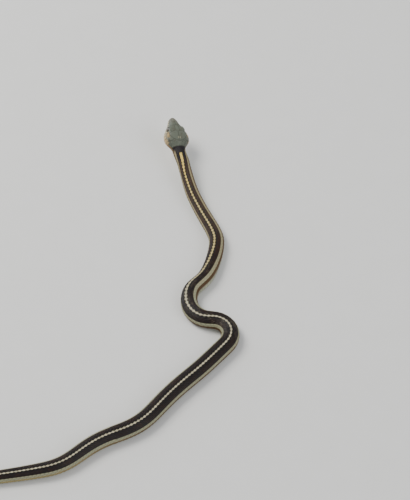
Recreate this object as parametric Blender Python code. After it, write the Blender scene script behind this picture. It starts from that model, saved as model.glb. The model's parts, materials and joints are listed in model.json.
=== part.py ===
"""A life-size garter snake lying on its belly in a swimming curve, with its head a little raised.

Metres, +Z up, the floor at z = 0, the origin on the floor under the middle of the whole snake.
The snake looks along +Y at its head end, and its tail trails off towards -Y.

The trunk is a loft of loaf-shaped sections along a level line, the spine, whose heading is given
by a few bends. Its neck lifts off the floor along a parabola. The head is a loft of its own, in
a frame at the nape whose X runs to the snake's right, Y forward and Z up.
"""

import math

import bmesh
import bpy
import numpy as np
from mathutils import Matrix, Vector

MM = 0.001
GAP = 0.3 * MM

# ---- the spine: (distance behind the nape in mm, heading in degrees, clockwise from +Y)
BENDS = (
    (0, -12),
    (3, -21),
    (6, -21),
    (11, -14),
    (20, -14),
    (40, -24),
    (55, -26),
    (66, -19),
    (76, 5),
    (87, 14),
    (98, 24),
    (109, 45),
    (118, 15),
    (127, -13),
    (137, -51),
    (146, -82),
    (153, -56),
    (160, -20),
    (167, 17),
    (174, 41),
    (184, 41),
    (205, 45),
    (235, 38),
    (265, 66),
    (292, 49),
    (318, 78),
    (345, 81),
    (368, 56),
    (395, 20),
    (422, -4),
    (450, -26),
    (480, -50),
    (505, -48),
    (522, -36),
)
NAPE_PLACE = (57 * MM, 177.5 * MM)
SPINE_STEP = 0.5 * MM

# ---- lengths along the spine, behind the nape
NECK_END = 40 * MM
TORSO_CUTS = (76, 108, 128, 147, 163, 200, 245, 290, 335)
VENT = 392 * MM
TAIL_CUTS = (435, 480)
TAIL_TIP = 522 * MM

# ---- the raised neck
NAPE_LIFT = 6.6 * MM
RISE_LENGTH = 60 * MM

# ---- half-width of the body: (distance behind the nape in mm, half-width in mm)
GIRTH = (
    (0, 4.3),
    (12, 4.05),
    (35, 4.35),
    (75, 4.85),
    (115, 5.15),
    (150, 5.6),
    (210, 5.65),
    (280, 5.3),
    (340, 4.2),
    (392, 3.15),
    (430, 2.45),
    (480, 1.45),
    (510, 0.75),
    (522, 0.4),
)
BACK_HEIGHT = 0.92
BELLY_DEPTH = 0.80
BELLY_SQUARENESS = 0.35
BELLY_PRESS = 0.07
BODY_SIDES = 20
RING_SPACING = 3.4 * MM
SHARP_ANGLE = 50

# ---- the head: (distance behind the snout in mm, size in mm)
HEAD_LENGTH = 23.6 * MM
HEAD_ROLL = -20
ROLL_OUT_LENGTH = 22 * MM
HEAD_HALF_WIDTH = (
    (0, 1.15),
    (0.5, 1.7),
    (1.5, 2.3),
    (3, 3.0),
    (4.5, 3.6),
    (6, 4.3),
    (7.8, 5.25),
    (9.5, 6.25),
    (11.5, 7.35),
    (13.5, 8.1),
    (15.5, 8.4),
    (17.2, 8.2),
    (19, 7.3),
    (20.7, 5.85),
    (22, 4.85),
    (23.6, 4.3),
)
HEAD_TOP = (
    (0, 1.4),
    (0.5, 2.0),
    (1.5, 2.55),
    (3, 3.05),
    (5.6, 3.7),
    (9, 4.4),
    (13, 4.95),
    (17, 4.8),
    (21, 4.4),
    (23.6, 4.3),
)
HEAD_BOTTOM = (
    (0, 1.15),
    (0.5, 1.65),
    (1.5, 2.15),
    (3, 2.6),
    (5.6, 3.15),
    (9, 3.7),
    (13, 4.2),
    (17, 4.45),
    (21, 4.35),
    (23.6, 4.3),
)
HEAD_SQUARENESS = ((0, 2.4), (5, 2.7), (12, 2.6), (18, 2.3), (22, 2.0), (23.6, 2.0))
LIP_BULGE = 0.28 * MM
LIP_HEIGHT = 1.6 * MM
LIP_FRONT_FADE = 1.5 * MM
LIP_BACK_FADE = 2 * MM
HEAD_SIDES = 40
HEAD_RINGS = (0, 0.5, 1, 1.7, 2.5, 3.5, 4.5, 5.5, 6.5, 7.5, 8.5, 9.5, 10.5, 11.5, 12.5, 13.5,
              14.5, 15.5, 16.5, 17.5, 18.5, 19.5, 20.5, 21.5, 22.5, 23.6)

# ---- the mouth: (distance behind the snout in mm, height above the head's axis in mm)
MOUTH_LINE = ((-2, -0.3), (0, -0.3), (3, -0.5), (8.5, -0.85), (13, -0.55), (16, -0.15), (19, -0.15))
MOUTH_CORNER = 17.2 * MM
JAW_SLANT = 40
OVERBITE = 0.25 * MM
JAW_CUT_REACH = 12 * MM

# ---- eyes, brows and nostrils, all in the head's frame, given for the right side
EYE_RADIUS = 1.7 * MM
EYE_BEHIND_SNOUT = 9.3 * MM
EYE_OUT = 4.75 * MM
EYE_UP = 1.9 * MM
EYE_TURN = 10
EYE_TILT = 14
RIM_RADIUS = 1.72 * MM
RIM_THICKNESS = 0.26 * MM
RIM_OUT = 0.9 * MM
BROW_SIZE = (1.3 * MM, 2.8 * MM, 0.8 * MM)
BROW_PLACE = (9.0 * MM, 4.4 * MM, 3.45 * MM)
NOSTRIL_PLACE = (2.0 * MM, 2.2 * MM, 1.1 * MM)
NOSTRIL_RADIUS = 0.42 * MM
NOSTRIL_DEPTH = 1.4 * MM
NOSTRIL_TAPER = 0.5

# ---- finishes: base colour, roughness
SCALES_DARK = ((0.060, 0.042, 0.034), 0.45)
HEAD_OLIVE = ((0.21, 0.215, 0.17), 0.42)
JAW_CREAM = ((0.56, 0.48, 0.33), 0.45)
EYE_BLACK = ((0.012, 0.010, 0.010), 0.08)


def clear_scene():
    """Remove every object of the start-up scene."""
    for thing in list(bpy.data.objects):
        bpy.data.objects.remove(thing)


def make_collection(name):
    """A collection linked to the scene."""
    group = bpy.data.collections.new(name)
    bpy.context.scene.collection.children.link(group)
    return group


def make_material(name, finish):
    """A plain Principled material from a (colour, roughness) finish."""
    colour, roughness = finish
    material = bpy.data.materials.new(name)
    material.use_nodes = True
    shader = material.node_tree.nodes["Principled BSDF"]
    shader.inputs["Base Color"].default_value = (*colour, 1.0)
    shader.inputs["Roughness"].default_value = roughness
    shader.inputs["Metallic"].default_value = 0.0
    return material


# ---------------------------------------------------------------- smooth profiles and the spine
def smooth(knots, place):
    """Value at a place, in mm or an array of them, of a smooth curve with no overshoot."""
    at = np.array([k[0] for k in knots], float)
    value = np.array([k[1] for k in knots], float)
    step = np.diff(at)
    rise = np.diff(value) / step
    slope = np.concatenate(([rise[0]], np.zeros(len(at) - 2), [rise[-1]]))
    for i in range(1, len(at) - 1):
        if rise[i - 1] * rise[i] > 0:
            slope[i] = 2 / (1 / rise[i - 1] + 1 / rise[i])
    i = np.clip(np.searchsorted(at, place, side="right") - 1, 0, len(step) - 1)
    t = (np.clip(place, at[0], at[-1]) - at[i]) / step[i]
    return (
        value[i] * (1 + 2 * t) * (1 - t) ** 2
        + value[i + 1] * t * t * (3 - 2 * t)
        + step[i] * (slope[i] * t * (1 - t) ** 2 - slope[i + 1] * t * t * (1 - t))
    )


def make_spine():
    """Distances behind the nape, and the level X and Y of the spine at each."""
    distance = np.arange(0, TAIL_TIP + SPINE_STEP, SPINE_STEP)
    middle = np.radians(smooth(BENDS, (distance + SPINE_STEP / 2) / MM))
    x = NAPE_PLACE[0] - np.concatenate(([0], np.cumsum(np.sin(middle))[:-1])) * SPINE_STEP
    y = NAPE_PLACE[1] - np.concatenate(([0], np.cumsum(np.cos(middle))[:-1])) * SPINE_STEP
    return distance, x, y


SPINE = make_spine()


def half_width(distance):
    """Half of the body's width at a distance behind the nape."""
    return float(smooth(GIRTH, distance / MM)) * MM


def settled(distance):
    """0 at the nape, where the body is round and in the air, to 1 where it lies on the floor."""
    t = min(max(distance / RISE_LENGTH, 0), 1)
    return t * t * (3 - 2 * t)


def axis_height(distance):
    """Height of the spine above the floor."""
    depth = 1 - (1 - BELLY_DEPTH) * settled(distance)
    press = BELLY_PRESS * settled(distance)
    lift = NAPE_LIFT * max(1 - distance / RISE_LENGTH, 0) ** 2
    return half_width(distance) * depth * (1 - press) + lift


def spine_frame(distance):
    """Frame on the spine: X to the snake's right, Y forward, Z up, at the body's axis."""
    heading = math.radians(float(smooth(BENDS, distance / MM)))
    pitch = math.atan(2 * NAPE_LIFT / RISE_LENGTH * max(1 - distance / RISE_LENGTH, 0))
    forward = Vector((
        math.sin(heading) * math.cos(pitch),
        math.cos(heading) * math.cos(pitch),
        math.sin(pitch),
    ))
    right = Vector((math.cos(heading), -math.sin(heading), 0))
    up = right.cross(forward)
    frame = Matrix((right, forward, up)).transposed().to_4x4()
    frame.translation = (
        float(np.interp(distance, SPINE[0], SPINE[1])),
        float(np.interp(distance, SPINE[0], SPINE[2])),
        axis_height(distance),
    )
    return frame


def rolled(degrees):
    """A turn about the forward axis that lifts the snake's right side."""
    return Matrix.Rotation(math.radians(-degrees), 4, "Y")


# ---------------------------------------------------------------- lofts
def loft(name, rings, material, collection):
    """A closed object through rings of equally many points, with a flat cap on each end."""
    mesh = bmesh.new()
    rows = [[mesh.verts.new(point) for point in ring] for ring in rings]
    for row, following in zip(rows, rows[1:]):
        for i in range(len(row)):
            j = (i + 1) % len(row)
            mesh.faces.new((row[i], row[j], following[j], following[i]))
    mesh.faces.new(rows[0])
    mesh.faces.new(rows[-1])
    bmesh.ops.recalc_face_normals(mesh, faces=mesh.faces)
    data = bpy.data.meshes.new(name)
    mesh.to_mesh(data)
    mesh.free()
    return place_mesh(name, data, material, collection)


def place_mesh(name, data, material, collection):
    """An object of a mesh, in a collection, shaded smooth, with one material."""
    thing = bpy.data.objects.new(name, data)
    data.materials.clear()
    if material is not None:
        data.materials.append(material)
    data.shade_smooth()
    data.set_sharp_from_angle(angle=math.radians(SHARP_ANGLE))
    collection.objects.link(thing)
    return thing


def body_ring(distance):
    """The loaf-shaped section of the body, round at the nape and flat under the belly behind."""
    width = half_width(distance)
    rest = settled(distance)
    back = width * (1 - (1 - BACK_HEIGHT) * rest)
    belly = width * (1 - (1 - BELLY_DEPTH) * rest)
    power = 1 - BELLY_SQUARENESS * rest
    roll_left = max(1 - distance / ROLL_OUT_LENGTH, 0)
    place = spine_frame(distance) @ rolled(HEAD_ROLL * roll_left * roll_left * (3 - 2 * roll_left))
    points = []
    for i in range(BODY_SIDES):
        turn = 2 * math.pi * i / BODY_SIDES
        rise = math.cos(turn)
        height = back * rise if rise > 0 else -belly * (-rise) ** power
        point = place @ Vector((width * math.sin(turn), 0, height))
        point.z = max(point.z, 0)
        points.append(point)
    return points


def body_length(name, start, end, material, collection):
    """One length of the body between two distances behind the nape."""
    start += GAP / 2
    end -= GAP / 2 if end < TAIL_TIP else 0
    count = max(2, math.ceil((end - start) / RING_SPACING) + 1)
    rings = [body_ring(start + (end - start) * i / (count - 1)) for i in range(count)]
    return loft(name, rings, material, collection)


def make_body(material, collection):
    """The neck, the lengths of the torso and the lengths of the tail."""
    body_length("neck", 0, NECK_END, material, collection)
    torso = [NECK_END, *[cut * MM for cut in TORSO_CUTS], VENT]
    for i, (start, end) in enumerate(zip(torso, torso[1:]), 1):
        body_length(f"torso_{i}", start, end, material, collection)
    tail = [VENT, *[cut * MM for cut in TAIL_CUTS], TAIL_TIP]
    for i, (start, end) in enumerate(zip(tail, tail[1:]), 1):
        body_length(f"tail_{i}", start, end, material, collection)


# ---------------------------------------------------------------- the head
def head_frame():
    """The nape's frame, rolled with the head."""
    return spine_frame(0) @ rolled(HEAD_ROLL)


def from_snout(behind, out, up):
    """A point of the head's frame, given by its distance behind the snout."""
    return Vector((out, HEAD_LENGTH - behind, up))


def lip_swell(behind, height):
    """How far the lips stand out: most at the mouth line, nothing a lip's height from it."""
    line = float(smooth(MOUTH_LINE, behind / MM)) * MM
    near = max(1 - abs(height - line) / LIP_HEIGHT, 0)
    front = min(behind / LIP_FRONT_FADE, 1)
    back = min(max((MOUTH_CORNER - behind) / LIP_BACK_FADE, 0), 1)
    return LIP_BULGE * near * near * (3 - 2 * near) * front * back


def head_ring(behind_mm, inset):
    """A section of the head: a squarish oval, with its lips swollen, less an inset all round."""
    behind = behind_mm * MM
    width = float(smooth(HEAD_HALF_WIDTH, behind_mm)) * MM - inset
    top = float(smooth(HEAD_TOP, behind_mm)) * MM - inset
    bottom = float(smooth(HEAD_BOTTOM, behind_mm)) * MM - inset
    power = 2 / float(smooth(HEAD_SQUARENESS, behind_mm))
    points = []
    for i in range(HEAD_SIDES):
        turn = 2 * math.pi * i / HEAD_SIDES
        across = math.sin(turn)
        rise = math.cos(turn)
        out = width * math.copysign(abs(across) ** power, across)
        up = (top if rise > 0 else bottom) * math.copysign(abs(rise) ** power, rise)
        out += math.copysign(lip_swell(behind, up), across) * abs(across)
        points.append(from_snout(behind, out, up))
    return points


def head_blank(name, inset, start_mm, collection):
    """The whole head as one closed loft, from the snout to the nape."""
    places = [start_mm, *[r for r in HEAD_RINGS if r > start_mm]]
    places[-1] -= GAP / 2 / MM
    return loft(name, [head_ring(place, inset) for place in places], None, collection)


def jaw_block(name, clearance, collection):
    """A block with the mouth line as its top, and a back that slants down from its corner."""
    corner = MOUTH_CORNER + clearance
    places = [MOUTH_LINE[0][0] * MM, *[r * MM for r in HEAD_RINGS if r * MM < corner], corner]
    rings = []
    for place in places:
        line = float(smooth(MOUTH_LINE, place / MM)) * MM + clearance
        slant = JAW_CUT_REACH * math.tan(math.radians(JAW_SLANT)) if place == corner else 0
        rings.append([
            from_snout(place, -JAW_CUT_REACH, line),
            from_snout(place, JAW_CUT_REACH, line),
            from_snout(place + slant, JAW_CUT_REACH, -JAW_CUT_REACH),
            from_snout(place + slant, -JAW_CUT_REACH, -JAW_CUT_REACH),
        ])
    return loft(name, rings, None, collection)


def eye_frame(side):
    """The eye's frame in the head: Z looks out of the eye, a little forward and up."""
    centre = from_snout(EYE_BEHIND_SNOUT, side * EYE_OUT, EYE_UP)
    turn = Matrix.Rotation(math.radians(side * EYE_TURN), 4, "Z")
    tilt = Matrix.Rotation(math.radians(side * (90 - EYE_TILT)), 4, "Y")
    return Matrix.Translation(centre) @ turn @ tilt


def ball(name, radius, place, collection, segments=20, rings=12, size=(1, 1, 1)):
    """A ball or an oval of that radius, at a place in the head's frame."""
    mesh = bmesh.new()
    bmesh.ops.create_uvsphere(mesh, u_segments=segments, v_segments=rings, radius=radius)
    bmesh.ops.scale(mesh, vec=size, verts=mesh.verts)
    bmesh.ops.transform(mesh, matrix=place, verts=mesh.verts)
    data = bpy.data.meshes.new(name)
    mesh.to_mesh(data)
    mesh.free()
    return place_mesh(name, data, None, collection)


def eye_rim(name, side, collection):
    """The ring of small scales round the eye."""
    bpy.ops.mesh.primitive_torus_add(
        major_radius=RIM_RADIUS,
        minor_radius=RIM_THICKNESS,
        major_segments=20,
        minor_segments=8,
    )
    ring = bpy.context.object
    ring.name = name
    ring.data.transform(eye_frame(side) @ Matrix.Translation((0, 0, RIM_OUT)))
    for group in ring.users_collection:
        group.objects.unlink(ring)
    collection.objects.link(ring)
    return ring


def nostril(name, side, collection):
    """A small tapered pit in the side of the snout."""
    behind, out, up = NOSTRIL_PLACE
    place = Matrix.Translation(from_snout(behind, side * out, up))
    tilt = Matrix.Rotation(math.radians(side * (90 - EYE_TILT)), 4, "Y")
    mesh = bmesh.new()
    bmesh.ops.create_cone(
        mesh,
        cap_ends=True,
        segments=10,
        radius1=NOSTRIL_RADIUS * NOSTRIL_TAPER,
        radius2=NOSTRIL_RADIUS,
        depth=NOSTRIL_DEPTH,
    )
    bmesh.ops.transform(mesh, matrix=place @ tilt, verts=mesh.verts)
    data = bpy.data.meshes.new(name)
    mesh.to_mesh(data)
    mesh.free()
    return place_mesh(name, data, None, collection)


def combine(base, group, operation):
    """Apply one exact Boolean of a whole collection to the base, then drop the collection."""
    modifier = base.modifiers.new(operation.lower(), "BOOLEAN")
    modifier.operation = operation
    modifier.solver = "EXACT"
    modifier.operand_type = "COLLECTION"
    modifier.collection = group
    bpy.context.view_layer.update()
    evaluated = base.evaluated_get(bpy.context.evaluated_depsgraph_get())
    data = bpy.data.meshes.new_from_object(evaluated)
    base.modifiers.clear()
    base.data = data
    for thing in list(group.objects):
        bpy.data.objects.remove(thing)
    bpy.data.collections.remove(group)


def keep_largest(thing):
    """Keep only the largest closed surface of a mesh."""
    mesh = bmesh.new()
    mesh.from_mesh(thing.data)
    left = set(mesh.faces)
    shells = []
    while left:
        shell = {left.pop()}
        edge_of_search = list(shell)
        while edge_of_search:
            face = edge_of_search.pop()
            near = {f for e in face.edges for f in e.link_faces if f in left}
            left -= near
            shell |= near
            edge_of_search.extend(near)
        shells.append(shell)
    shells.sort(key=lambda s: sum(f.calc_area() for f in s))
    scrap = [f for shell in shells[:-1] for f in shell]
    bmesh.ops.delete(mesh, geom=scrap, context="FACES")
    mesh.to_mesh(thing.data)
    mesh.free()


def finish_node(thing, material, collection, place):
    """Give a finished piece of the head its place, its material and its collection."""
    thing.data.transform(place)
    thing.data.materials.clear()
    thing.data.materials.append(material)
    for group in list(thing.users_collection):
        group.objects.unlink(thing)
    collection.objects.link(thing)


def make_upper_head(material, collection, workshop):
    """The skull with its brows and eye rims, cut for the eyes, the nostrils and the lower jaw."""
    head = head_blank("head", 0, 0, workshop)
    added = make_collection("head_added")
    removed = make_collection("head_removed")
    for side, word in ((1, "right"), (-1, "left")):
        behind, out, up = BROW_PLACE
        brow_place = Matrix.Translation(from_snout(behind, side * out, up))
        ball(f"brow_{word}", 1, brow_place, added, size=BROW_SIZE)
        eye_rim(f"rim_{word}", side, added)
        ball(f"socket_{word}", EYE_RADIUS + GAP, eye_frame(side), removed)
        nostril(f"nostril_{word}", side, removed)
    jaw_block("jaw_room", GAP / 2, removed)
    combine(head, added, "UNION")
    combine(head, removed, "DIFFERENCE")
    keep_largest(head)
    finish_node(head, material, collection, head_frame())


def make_lower_jaw(material, collection, workshop):
    """The lower jaw, a little smaller than the upper all round, up to the mouth's corner."""
    jaw = head_blank("lower_jaw", OVERBITE, OVERBITE / MM, workshop)
    kept = make_collection("jaw_kept")
    jaw_block("jaw_block", -GAP / 2, kept)
    combine(jaw, kept, "INTERSECT")
    keep_largest(jaw)
    finish_node(jaw, material, collection, head_frame())


def make_eyes(material, collection, workshop):
    """Both eyes, each a ball in its socket."""
    for side, word in ((1, "right"), (-1, "left")):
        eye = ball(f"eye_{word}", EYE_RADIUS, eye_frame(side), workshop)
        finish_node(eye, material, collection, head_frame())


def main():
    """Build the whole snake."""
    clear_scene()
    snake = make_collection("garter_snake")
    workshop = make_collection("workshop")
    dark = make_material("scales_dark", SCALES_DARK)
    olive = make_material("head_olive", HEAD_OLIVE)
    cream = make_material("jaw_cream", JAW_CREAM)
    black = make_material("eye_black", EYE_BLACK)
    make_body(dark, snake)
    make_upper_head(olive, snake, workshop)
    make_lower_jaw(cream, snake, workshop)
    make_eyes(black, snake, workshop)
    bpy.data.collections.remove(workshop)


main()
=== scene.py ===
"""A life-size garter snake on a pale floor: its skin, its scales, its eyes and their finishes.

Every place on the snake is told by two numbers: how far along it lies behind the snout, and how
far around it lies from the middle of the back, in degrees, positive towards the snake's right.
The skin, the scales and the markings all share them, so that the stripes run through unbroken.
"""

import json
import logging
import math
from collections.abc import Callable, Iterator
from dataclasses import dataclass, fields
from enum import Enum
from functools import reduce
from typing import ClassVar

import bmesh
import bpy
import numpy as np
from mathutils import Matrix, Vector

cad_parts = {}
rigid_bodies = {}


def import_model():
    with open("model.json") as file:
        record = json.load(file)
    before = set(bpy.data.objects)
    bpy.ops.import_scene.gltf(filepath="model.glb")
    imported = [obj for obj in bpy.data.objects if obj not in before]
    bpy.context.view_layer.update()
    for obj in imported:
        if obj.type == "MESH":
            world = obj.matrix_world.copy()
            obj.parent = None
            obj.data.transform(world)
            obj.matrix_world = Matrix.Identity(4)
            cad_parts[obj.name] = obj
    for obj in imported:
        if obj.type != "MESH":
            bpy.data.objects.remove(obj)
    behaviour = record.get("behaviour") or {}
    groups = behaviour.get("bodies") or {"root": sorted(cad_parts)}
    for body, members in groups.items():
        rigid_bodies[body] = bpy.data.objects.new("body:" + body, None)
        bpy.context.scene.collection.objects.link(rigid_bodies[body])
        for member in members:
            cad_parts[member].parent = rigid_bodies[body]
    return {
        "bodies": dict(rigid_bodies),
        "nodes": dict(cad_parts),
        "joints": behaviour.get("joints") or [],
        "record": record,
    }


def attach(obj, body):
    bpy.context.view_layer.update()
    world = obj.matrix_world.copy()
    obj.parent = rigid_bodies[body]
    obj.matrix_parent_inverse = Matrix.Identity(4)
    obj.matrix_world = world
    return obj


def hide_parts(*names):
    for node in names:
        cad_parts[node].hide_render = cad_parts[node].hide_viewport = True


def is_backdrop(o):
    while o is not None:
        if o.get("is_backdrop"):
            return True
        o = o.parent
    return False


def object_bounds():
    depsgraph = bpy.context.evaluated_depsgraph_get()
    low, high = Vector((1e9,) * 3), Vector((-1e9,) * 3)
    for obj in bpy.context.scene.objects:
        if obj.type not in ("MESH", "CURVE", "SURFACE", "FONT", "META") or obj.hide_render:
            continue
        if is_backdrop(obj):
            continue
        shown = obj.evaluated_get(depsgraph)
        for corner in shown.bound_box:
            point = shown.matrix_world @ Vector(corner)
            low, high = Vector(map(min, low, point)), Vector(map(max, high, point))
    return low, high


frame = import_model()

MM = 0.001
BODY = "root"
UV_NAME = "OFBake"
STORED = ("along", "around", "row", "ring", "tone", "edge", "bar")
HALF_TURN = np.radians(np.linspace(0, 180, 721))
TINY = 1e-12
LOG = logging.getLogger("garter_snake")

Array = np.ndarray
Material = bpy.types.Material
Object = bpy.types.Object
Tree = bpy.types.NodeTree
Pair = tuple[float, float]
Triple = tuple[float, float, float]
Colour = tuple[float, float, float, float]


class Slot(Enum):
    """The record's material slots."""

    HEAD = "head_scales"
    JAW = "jaw_scales"
    BODY = "body_scales"
    EYE = "eye"


class Side(Enum):
    """The snake's own sides."""

    LEFT = -1
    RIGHT = 1


# ------------------------------------------------------------------ curves and small helpers
@dataclass(frozen=True)
class Profile:
    """A smooth curve through (place, value) knots that never overshoots them."""

    knots: tuple[Pair, ...]

    def __call__(self, place: Array | float) -> Array:
        """Read the curve.

        Args:
            place: One place or an array of them, in the knots' own unit.

        Returns:
            The curve's values at those places.
        """
        at, value = np.array(self.knots, float).T
        step = np.diff(at)
        rise = np.diff(value) / step
        slope = np.concatenate(([rise[0]], np.zeros(len(at) - 2), [rise[-1]]))
        for i in range(1, len(at) - 1):
            if rise[i - 1] * rise[i] > 0:
                slope[i] = 2 / (1 / rise[i - 1] + 1 / rise[i])
        i = np.clip(np.searchsorted(at, place, side="right") - 1, 0, len(step) - 1)
        t = (np.clip(place, at[0], at[-1]) - at[i]) / step[i]
        return (
            value[i] * (1 + 2 * t) * (1 - t) ** 2
            + value[i + 1] * t * t * (3 - 2 * t)
            + step[i] * (slope[i] * t * (1 - t) ** 2 - slope[i + 1] * t * t * (1 - t))
        )


def ease(value: Array, low: float, high: float) -> Array:
    """A smooth step from 0 at low to 1 at high, which may lie below low."""
    t = np.clip((value - low) / (high - low), 0, 1)
    return t * t * (3 - 2 * t)


def bump_of(value: Array, middle: float, spread: float) -> Array:
    """A bell of height 1 about a middle."""
    return np.exp(-(((value - middle) / spread) ** 2))


def wrapped(around: Array) -> Array:
    """Degrees around, brought between -180 and 180."""
    return (around + 180) % 360 - 180


def folded(around: Array) -> Array:
    """Degrees around, either way, from the middle of the back: 0 to 180."""
    return np.abs(wrapped(around))


def running(steps: Array) -> Array:
    """The sum of the steps before each place, from 0 to the whole."""
    return np.concatenate(([0], np.cumsum(steps)))


def walk(x: Array, z: Array) -> Array:
    """Distances along a chain of points, from its first."""
    return running(np.hypot(np.diff(x), np.diff(z)))


def sideways(grid: Array) -> Array:
    """From the point before to the point after, round each closed row of a grid."""
    return np.roll(grid, -1, axis=1) - np.roll(grid, 1, axis=1)


def unit(vectors: Array) -> Array:
    """The same directions with length 1."""
    return vectors / np.maximum(np.linalg.norm(vectors, axis=-1, keepdims=True), TINY)


def paint(red: int, green: int, blue: int) -> Colour:
    """A screen colour of 0 to 255 as the linear colour that a shader socket takes.

    Args:
        red: The red light.
        green: The green light.
        blue: The blue light.

    Returns:
        Its red, green, blue and alpha.
    """
    shares = [c / 255 for c in (red, green, blue)]
    linear = [s / 12.92 if s <= 0.04045 else ((s + 0.055) / 1.055) ** 2.4 for s in shares]
    return (*linear, 1.0)


# ------------------------------------------------------------------ the snake's form
@dataclass(frozen=True)
class BodyForm:
    """The neck, trunk and tail: loaf-shaped sections along a level spine.

    The knots give millimetres or degrees against millimetres behind the nape.
    """

    nape: Pair = (57 * MM, 177.5 * MM)
    length: float = 522 * MM
    vent: float = 392 * MM
    step: float = 0.5 * MM
    nape_lift: float = 6.6 * MM
    rise_length: float = 60 * MM
    head_roll: float = -20
    roll_out: float = 22 * MM
    back_height: float = 0.92
    belly_depth: float = 0.80
    belly_squareness: float = 0.35
    belly_press: float = 0.07
    bends: Profile = Profile((
        (0, -12), (3, -21), (6, -21), (11, -14), (20, -14), (40, -24), (55, -26), (66, -19),
        (76, 5), (87, 14), (98, 24), (109, 45), (118, 15), (127, -13), (137, -51),
        (146, -82), (153, -56), (160, -20), (167, 17), (174, 41), (184, 41), (205, 45),
        (235, 38), (265, 66), (292, 49), (318, 78), (345, 81), (368, 56), (395, 20),
        (422, -4), (450, -26), (480, -50), (505, -48), (522, -36),
    ))
    girth: Profile = Profile((
        (0, 4.3), (12, 4.05), (35, 4.35), (75, 4.85), (115, 5.15), (150, 5.6), (210, 5.65),
        (280, 5.3), (340, 4.2), (392, 3.15), (430, 2.45), (480, 1.45), (510, 0.75),
        (519, 0.48), (521, 0.34), (521.8, 0.18), (522, 0.05),
    ))

    def settled(self, distance: Array) -> Array:
        """0 at the nape, round and in the air, to 1 where the body lies on the floor."""
        return ease(distance, 0, self.rise_length)

    def share(self, distance: Array, settled: float) -> Array:
        """A share of the half width: 1 at the nape, and its settled value on the floor."""
        return 1 - (1 - settled) * self.settled(distance)

    def half_width(self, distance: Array) -> Array:
        """Half of the body's width at a distance behind the nape."""
        return self.girth(distance / MM) * MM

    def roll(self, distance: Array) -> Array:
        """The turn of the sections themselves, in degrees, which fades out behind the head."""
        return self.head_roll * (1 - ease(distance, 0, self.roll_out))

    def spine(self) -> tuple[Array, Array, Array]:
        """Distances behind the nape with the spine's level X and Y at each.

        Returns:
            The three, with one entry for each step.
        """
        distance = np.arange(0, self.length + self.step, self.step)
        heading = np.radians(self.bends((distance + self.step / 2) / MM))
        x = self.nape[0] - running(np.sin(heading))[:-1] * self.step
        y = self.nape[1] - running(np.cos(heading))[:-1] * self.step
        return distance, x, y

    def axes(self, distance: Array) -> tuple[Array, ...]:
        """The body's frames.

        Args:
            distance: Distances behind the nape.

        Returns:
            The axis points, and the unit directions right, forward and up at each.
        """
        along, x, y = self.spine()
        left = np.maximum(1 - distance / self.rise_length, 0)
        press = 1 - self.belly_press * self.settled(distance)
        height = self.half_width(distance) * self.share(distance, self.belly_depth) * press
        height = height + self.nape_lift * left**2
        centre = np.stack(
            [np.interp(distance, along, x), np.interp(distance, along, y), height], -1
        )
        heading = np.radians(self.bends(distance / MM))
        pitch = np.arctan(2 * self.nape_lift / self.rise_length * left)
        level = np.stack([np.cos(heading), -np.sin(heading), np.zeros_like(heading)], -1)
        forward = np.stack([
            np.sin(heading) * np.cos(pitch), np.cos(heading) * np.cos(pitch), np.sin(pitch)
        ], -1)
        lifted = np.cross(level, forward)
        turn = np.radians(-self.roll(distance))[..., None]
        right = level * np.cos(turn) - lifted * np.sin(turn)
        up = level * np.sin(turn) + lifted * np.cos(turn)
        return centre, right, forward, up

    @staticmethod
    def heights(angle: Array, back: Array, belly: Array, power: Array) -> Array:
        """How high a section's edge lies over its axis, at angles from its top."""
        rise = np.cos(angle)
        return np.where(rise > 0, back * rise, -belly * np.abs(rise) ** power)

    def evened(self) -> tuple[Array, Array]:
        """How the settled section's own angle follows an even walk round it.

        Returns:
            Degrees of the walk, and the section's own angles at them.
        """
        power = 1 - self.belly_squareness
        heights = self.heights(HALF_TURN, self.back_height, self.belly_depth, power)
        walked = walk(np.sin(HALF_TURN), heights)
        return walked / walked[-1] * 180, np.degrees(HALF_TURN)

    def points(self, distance: Array, turned: Array) -> Array:
        """Points of the body's outer surface.

        Args:
            distance: Distances behind the nape.
            turned: Degrees round the section from its top, one for each distance.

        Returns:
            One point for each pair, as an array that ends in 3.
        """
        rest = self.settled(distance)
        walked, angle = self.evened()
        even = np.copysign(np.interp(np.abs(turned), walked, angle), turned)
        angle = np.radians(turned * (1 - rest) + even * rest)
        width = self.half_width(distance)
        back = width * self.share(distance, self.back_height)
        belly = width * self.share(distance, self.belly_depth)
        height = self.heights(angle, back, belly, 1 - self.belly_squareness * rest)
        out = width * np.sin(angle)
        centre, right, _, up = self.axes(distance)
        point = centre + right * out[..., None] + up * height[..., None]
        point[..., 2] = np.maximum(point[..., 2], 0)
        return point


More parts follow.
